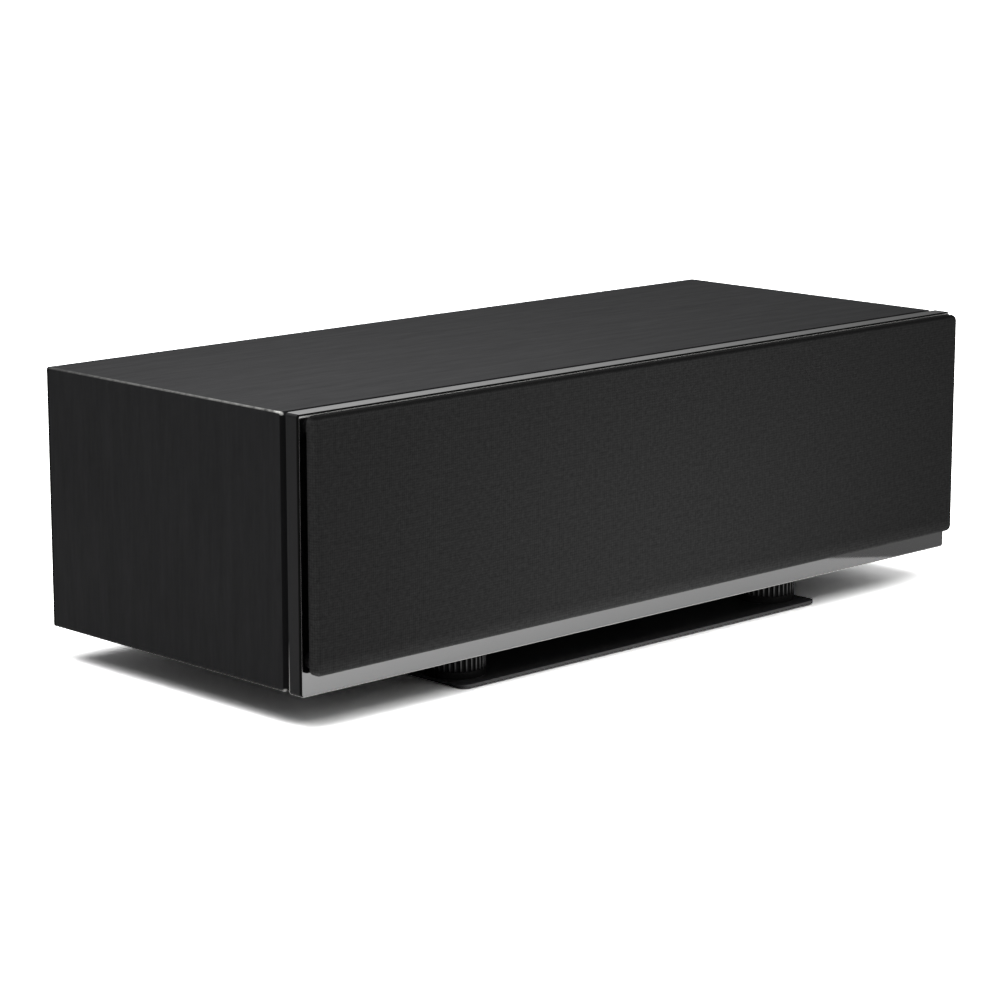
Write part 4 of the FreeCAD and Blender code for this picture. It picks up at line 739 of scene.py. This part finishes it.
out = add(tree, "ShaderNodeVectorMath", {"operation": "DISTANCE"}, _0=quarter,
          _1=pillar_axis).outputs["Value"]
# Painted highlight: the crown of each rib is drawn grey, above the plain foot band.
crown = add(tree, "ShaderNodeMapRange", Value=out, From_Min=reach - CROWN_FROM,
            From_Max=reach - CROWN_WHOLE).outputs[0]
above = add(tree, "ShaderNodeSeparateXYZ", Vector=spot).outputs["Z"]
above = add(tree, "ShaderNodeMapRange", Value=above, From_Min=low.z + PILLAR_BAND,
            From_Max=low.z + 2 * PILLAR_BAND).outputs[0]
crown = add(tree, "ShaderNodeMath", {"operation": "MULTIPLY"}, _0=crown, _1=above).outputs[0]
ribs_highlighted = add(tree, "ShaderNodeMix", {"data_type": "RGBA"}, _0=crown, _6=linear(FLUTE),
           _7=linear(RIB_CROWN_HIGHLIGHT)).outputs[2]
plug(tree, tree.nodes["Principled BSDF"], Base_Color=ribs_highlighted)
dress(ribbed, *PILLARS)
# Moulded rubber: dull black
rubber = pressed("moulded_rubber", "#222223", "#1a1a1b", 0.6 * MM, 0.03 * MM, 0.75, 0.2)
dress(rubber, "base_pads")
sinks = []
for node in PILLARS:
    low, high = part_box(node)
    sinks.append(((low.x + high.x) / 2, (low.y + high.y) / 2, low.z))
screws("base_screws_crossed", "base_screws", sinks, (math.pi, 0, 0), black_oxide,
       {"Head Radius": 2.5 * MM, "Top Radius": 4.5 * MM, "Head Height": 2 * MM, "Shank Radius": 2.5 * MM,
        "Shank Length": 27.3 * MM, "Recess Reach": 2.4 * MM, "Recess Width": 1.1 * MM,
        "Recess Depth": 1.4 * MM})

# Grille
# A moulded frame on six pegs that push into rubber cups in the baffle. Black cloth is stretched over
# its face and glued down round its sides.
CLOTH_THICK = 0.6 * MM
CLOTH_CORNER = 4.0 * MM
CLOTH_EDGE = 3.2 * MM
CLOTH_PITCH = 1.5 * MM
CLOTH = "#2b2b2b"
CLOTH_GAP = "#161616"
CLOTH_TOP_SHADE = "#080808"
CLOTH_LIGHT_GAIN = 3.0
CLOTH_FOOT_LIGHT_TOP = 9 * MM
CLOTH_FOOT_LIGHT_WHOLE = 2.5 * MM
CLOTH_FOOT_LIGHT_SHARE = 0.26
ARC_STEPS = 6
CORNER_STEPS = 8
# ABS from a matt tool: an even dull black
dress(pressed("grille_frame_abs", "#202021", "#19191a", 0.6 * MM, 0.03 * MM, 0.62, 0.2), "grille_frame")
dress(rubber, "grille_cups")
cloth_low, cloth_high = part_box("grille_cloth")
half_width = (cloth_high.x - cloth_low.x) / 2
half_height = (cloth_high.z - cloth_low.z) / 2
middle_z = (cloth_low.z + cloth_high.z) / 2
rings = [(CLOTH_EDGE, cloth_low.y, 0.0)]
for step in range(1, ARC_STEPS + 1):
    angle = math.pi / 2 * step / ARC_STEPS
    rings.append((CLOTH_EDGE * (1 - math.sin(angle)), cloth_low.y + CLOTH_EDGE * (1 - math.cos(angle)),
                  CLOTH_EDGE * angle))
rings.append((0.0, cloth_high.y, CLOTH_EDGE * math.pi / 2 + cloth_high.y - cloth_low.y - CLOTH_EDGE))
shape = bmesh.new()
flat_place = shape.verts.layers.float_vector.new("flat_place")
loops = []
for inset, y, run in rings:
    loop = []
    for quarter in range(4):
        centre_x = (half_width - CLOTH_CORNER) * (1 if quarter in (0, 3) else -1)
        centre_z = (half_height - CLOTH_CORNER) * (1 if quarter in (0, 1) else -1)
        for step in range(CORNER_STEPS + 1):
            angle = math.pi / 2 * (quarter + step / CORNER_STEPS)
            out = Vector((math.cos(angle), 0, math.sin(angle)))
            centre = Vector((centre_x, y, middle_z + centre_z))
            vertex = shape.verts.new(centre + out * (CLOTH_CORNER - inset))
            fold = Vector((centre_x, 0, centre_z)) + out * (CLOTH_CORNER - CLOTH_EDGE + run)
            vertex[flat_place] = (fold.x, fold.z, 0)
            loop.append(vertex)
    loops.append(loop)
shape.faces.new(loops[0])
for inner, outer in zip(loops, loops[1:]):
    count = len(inner)
    for here in range(count):
        there = (here + 1) % count
        shape.faces.new([inner[here], outer[here], outer[there], inner[there]])
weave_map = shape.loops.layers.uv.new("weave")
for face in shape.faces:
    face.smooth = True
    for corner in face.loops:
        corner[weave_map].uv = corner.vert[flat_place].xy
shape.normal_update()
shape.faces.ensure_lookup_table()
if shape.faces[0].normal.y > 0:
    bmesh.ops.reverse_faces(shape, faces=shape.faces)
cloth_mesh = bpy.data.meshes.new("stretched_cloth")
shape.to_mesh(cloth_mesh)
shape.free()
cloth = bpy.data.objects.new("stretched_cloth", cloth_mesh)
bpy.context.scene.collection.objects.link(cloth)
# Woven polyester: a dull black with an uneven thread, drawn coarser than its real half millimetre so
# that it shows. Where it turns over the frame it is painted paler as painted light, most of all facing down,
# and in a band along the foot of its face; along the top it is painted black as painted shade.
speaker_cloth = woven("black_speaker_cloth", CLOTH, CLOTH_GAP, CLOTH_PITCH, "UV", 0.95, 0.1)
tree = speaker_cloth.node_tree
shader = tree.nodes["Principled BSDF"]
weave = shader.inputs["Base Color"].links[0].from_socket
coords = add(tree, "ShaderNodeTexCoord").outputs
turned = add(tree, "ShaderNodeSeparateXYZ", Vector=coords["Normal"]).outputs
# Painted light: the cloth is drawn paler where it turns over the frame, most of all facing down, and in a band
# along the foot.
turned_light = add(tree, "ShaderNodeMapRange", Value=turned["Y"], From_Min=-0.99, From_Max=-0.7).outputs[0]
foot = add(tree, "ShaderNodeMapRange", Value=turned["Z"], From_Min=0.0, From_Max=-0.4, To_Min=0.2).outputs[0]
turned_light = add(tree, "ShaderNodeMath", {"operation": "MULTIPLY"}, _0=turned_light, _1=foot).outputs[0]
height = add(tree, "ShaderNodeSeparateXYZ", Vector=coords["Object"]).outputs["Z"]
foot_light = add(tree, "ShaderNodeMapRange", Value=height, From_Min=cloth_low.z + CLOTH_FOOT_LIGHT_TOP,
           From_Max=cloth_low.z + CLOTH_FOOT_LIGHT_WHOLE, To_Max=CLOTH_FOOT_LIGHT_SHARE).outputs[0]
turned_light = add(tree, "ShaderNodeMath", {"operation": "MAXIMUM"}, _0=turned_light, _1=foot_light).outputs[0]
lit_weave = add(tree, "ShaderNodeMix", {"data_type": "RGBA", "blend_type": "MULTIPLY"}, _0=1.0, _6=weave,
            _7=[CLOTH_LIGHT_GAIN] * 3 + [1.0]).outputs[2]
weave = add(tree, "ShaderNodeMix", {"data_type": "RGBA"}, _0=turned_light, _6=weave, _7=lit_weave).outputs[2]
# Painted shade: the top of the turned edge is drawn black.
top_shade = add(tree, "ShaderNodeMapRange", Value=turned["Z"], From_Min=0.3, From_Max=0.75).outputs[0]
weave = add(tree, "ShaderNodeMix", {"data_type": "RGBA"}, _0=top_shade, _6=weave,
            _7=linear(CLOTH_TOP_SHADE)).outputs[2]
plug(tree, shader, Base_Color=weave)
cloth_mesh.materials.append(speaker_cloth)
skin = cloth.modifiers.new("cloth", "SOLIDIFY")
skin.thickness = CLOTH_THICK
skin.offset = -1.0
reach = rings[-1][2] - CLOTH_EDGE
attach(cloth, "grille")
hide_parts("grille_cloth")

# Floor
# A wide sheet of white paper. It is exposed past white for the camera, as in the photograph, so only
# the shadow near the object is left on it.
FLOOR_REACH = 40.0
PAPER = "#f2f2f2"
PAPER_GAIN = 3.0
floor_mesh = bpy.data.meshes.new("studio_floor")
floor_corners = ((-1, -1), (1, -1), (1, 1), (-1, 1))
floor_mesh.from_pydata([(x * FLOOR_REACH, y * FLOOR_REACH, 0) for x, y in floor_corners], [], [(0, 1, 2, 3)])
floor = bpy.data.objects.new("studio_floor", floor_mesh)
bpy.context.scene.collection.objects.link(floor)
paper, tree, shader = new_material("white_paper")
white = linear(PAPER)
seen = add(tree, "ShaderNodeLightPath").outputs["Is Camera Ray"]
paper_colour = add(tree, "ShaderNodeMix", {"data_type": "RGBA"}, _0=seen, _6=white,
                   _7=[PAPER_GAIN * channel for channel in white[:3]] + [1.0])
plug(tree, shader, Base_Color=paper_colour.outputs[2], Roughness=1.0, Specular_IOR_Level=0.0)
floor_mesh.materials.append(paper)
floor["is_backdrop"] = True

# Grey card
# A grey paper card that stands in for the dim right end of the room. It is laid on the floor where the
# polished strip mirrors it, and only reflections see it.
CARD_TONE = "#8a8a8a"
CARD_LIFT = 0.4 * MM
CARD_CORNERS = ((204 * MM, -222 * MM), (480 * MM, -222 * MM), (480 * MM, -140 * MM), (310 * MM, -140 * MM))


def mirrored_only(piece):
    """A studio piece that only reflections see, and that casts no shadow."""
    piece.visible_camera = False
    piece.visible_diffuse = False
    piece.visible_shadow = False
    piece.visible_transmission = False
    bpy.context.scene.collection.objects.link(piece)


card_mesh = bpy.data.meshes.new("grey_card")
card_mesh.from_pydata([(x, y, CARD_LIFT) for x, y in CARD_CORNERS], [], [(0, 1, 2, 3)])
card = bpy.data.objects.new("grey_card", card_mesh)
card_paper, tree, shader = new_material("grey_paper")
plug(tree, shader, Base_Color=linear(CARD_TONE), Roughness=1.0, Specular_IOR_Level=0.0)
card_mesh.materials.append(card_paper)
mirrored_only(card)
card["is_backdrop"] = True

# Rear flat
# A flat behind the object that glows as painted light, brightest at its left end and dimmer along its
# foot, so that the upper faces mirror more light at their left end. Only reflections see it.
FLAT_GLOW = 0.88
FLAT_BEHIND = 0.4
FLAT_LEFT, FLAT_RIGHT = -1.0, 2.0
FLAT_FOOT, FLAT_HEAD = 0.27, 1.6
GLOW_WHOLE, GLOW_GONE = 0.15, 1.1
DIM_FOOT, DIM_HEAD = 0.29, 0.36
DIM_SHARE = 0.5
flat_mesh = bpy.data.meshes.new("rear_flat")
flat_mesh.from_pydata([(FLAT_LEFT, FLAT_BEHIND, FLAT_FOOT), (FLAT_RIGHT, FLAT_BEHIND, FLAT_FOOT),
                       (FLAT_RIGHT, FLAT_BEHIND, FLAT_HEAD), (FLAT_LEFT, FLAT_BEHIND, FLAT_HEAD)],
                      [], [(0, 1, 2, 3)])
flat = bpy.data.objects.new("rear_flat", flat_mesh)
glowing_canvas = bpy.data.materials.new("glowing_canvas")
glowing_canvas.use_nodes = True
tree = glowing_canvas.node_tree
tree.nodes.clear()
spot = add(tree, "ShaderNodeSeparateXYZ", Vector=add(tree, "ShaderNodeTexCoord").outputs["Object"]).outputs
# The glow is painted light: bright at the left, fading to the right, dimmer along the foot.
glow = add(tree, "ShaderNodeMapRange", Value=spot["X"], From_Min=GLOW_WHOLE, From_Max=GLOW_GONE,
           To_Min=FLAT_GLOW, To_Max=0.0)
rise = add(tree, "ShaderNodeMapRange", Value=spot["Z"], From_Min=DIM_FOOT, From_Max=DIM_HEAD,
           To_Min=DIM_SHARE)
glow = add(tree, "ShaderNodeMath", {"operation": "MULTIPLY"}, _0=glow.outputs[0], _1=rise.outputs[0])
canvas = add(tree, "ShaderNodeEmission", Color=linear("#ffffff"), Strength=glow.outputs[0])
clear = add(tree, "ShaderNodeBsdfTransparent")
canvas = add(tree, "ShaderNodeAddShader", _0=canvas.outputs[0], _1=clear.outputs[0])
add(tree, "ShaderNodeOutputMaterial", Surface=canvas.outputs[0])
flat_mesh.materials.append(glowing_canvas)
mirrored_only(flat)
flat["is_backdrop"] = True

# Light
# A very large softbox straight overhead, two smaller ones over the left end and at the right, a reflector
# low in front that is flagged off the floor, and a pale room, darker near its horizon, brighter to the right.
SUN_POWER = 2.2
SUN_SPREAD = math.radians(85)
SOFTBOX = 0.5
KEY_POWER = 2.4
KEY_PLACE = (-0.30, -0.09, 0.55)
BOUNCE_POWER = 0.85
BOUNCE_WIDTH, BOUNCE_HEIGHT = 0.3, 0.012
BOUNCE_PLACE = (0.0, -0.36, 0.008)
BOUNCE_TILT = math.radians(110)
RIGHT_POWER = 2.8
RIGHT_PLACE = (1.0, -0.1, 0.35)
RIGHT_TILT = math.radians(75)
FILL_SIDE = (0.6, 0.8, 0.0)
FILL_NEAR, FILL_FAR = 0.02, 0.25
COVE_FROM, COVE_TO = 0.128, 0.18
COVE_LOW, COVE_TOP = 0.04, 0.2


def area_lamp(name, power, place, tilt, width, height=None):
    """A round softbox, or a strip where it has a height, that nothing sees in a reflection."""
    lamp = bpy.data.lights.new(name, "AREA")
    lamp.shape = "RECTANGLE" if height else "DISK"
    lamp.size = width
    if height:
        lamp.size_y = height
    lamp.energy = power
    stand = bpy.data.objects.new(name, lamp)
    stand.location = place
    stand.rotation_euler = tilt
    stand.visible_camera = False
    stand.visible_glossy = False
    bpy.context.scene.collection.objects.link(stand)
    return stand


overhead = bpy.data.lights.new("overhead_softbox", "SUN")
overhead.energy = SUN_POWER
overhead.angle = SUN_SPREAD
bpy.context.scene.collection.objects.link(bpy.data.objects.new("overhead_softbox", overhead))
area_lamp("key_softbox", KEY_POWER, KEY_PLACE, (0, 0, 0), SOFTBOX)
reflector = area_lamp("low_reflector", BOUNCE_POWER, BOUNCE_PLACE, (BOUNCE_TILT, 0, 0), BOUNCE_WIDTH,
                      BOUNCE_HEIGHT)
flagged = bpy.data.collections.new("flagged_off_reflector")
flagged.objects.link(floor)
flagged.collection_objects[0].light_linking.link_state = "EXCLUDE"
reflector.light_linking.receiver_collection = flagged
area_lamp("right_softbox", RIGHT_POWER, RIGHT_PLACE, (0, RIGHT_TILT, 0), SOFTBOX)
world = bpy.data.worlds.new("studio")
world.use_nodes = True
bpy.context.scene.world = world
tree = world.node_tree
rays = add(tree, "ShaderNodeLightPath").outputs
view = add(tree, "ShaderNodeTexCoord").outputs["Generated"]
turned = add(tree, "ShaderNodeVectorMath", {"operation": "DOT_PRODUCT"}, _0=view, _1=FILL_SIDE)
fill = add(tree, "ShaderNodeMapRange", Value=turned.outputs["Value"], From_Min=-1.0, From_Max=1.0,
           To_Min=FILL_NEAR, To_Max=FILL_FAR)
rise = add(tree, "ShaderNodeSeparateXYZ", Vector=view).outputs["Z"]
cove = add(tree, "ShaderNodeMapRange", Value=rise, From_Min=COVE_FROM, From_Max=COVE_TO, To_Min=COVE_LOW,
           To_Max=COVE_TOP)
seen = add(tree, "ShaderNodeMath", {"operation": "MAXIMUM"}, _0=rays["Is Camera Ray"],
           _1=rays["Is Transmission Ray"])
room = add(tree, "ShaderNodeMix", {"data_type": "FLOAT"}, _0=rays["Is Glossy Ray"], _2=fill.outputs[0],
           _3=cove.outputs[0])
room = add(tree, "ShaderNodeMix", {"data_type": "FLOAT"}, _0=seen.outputs[0], _2=room.outputs[0], _3=1.0)
plug(tree, tree.nodes["Background"], Color=linear("#ffffff"), Strength=room.outputs[0])

# Camera
# A long lens, a little above the object and to its left. Place, aim and lens are fitted to the edges of
# the object in the photograph.
SENSOR = 36.0
LENS = 115.73
CAMERA_PLACE = (-1.33298, -1.35698, 0.46072)
LOOK_DOWN = 0.2018
LOOK_RIGHT = 0.7676
camera_data = bpy.data.cameras.new("camera")
camera_data.sensor_width = SENSOR
camera_data.lens = LENS
camera = bpy.data.objects.new("camera", camera_data)
camera.location = CAMERA_PLACE
camera.rotation_euler = (math.pi / 2 - LOOK_DOWN, 0, -LOOK_RIGHT)
bpy.context.scene.collection.objects.link(camera)
bpy.context.scene.camera = camera
bpy.context.scene.view_settings.view_transform = "Standard"

low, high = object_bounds()
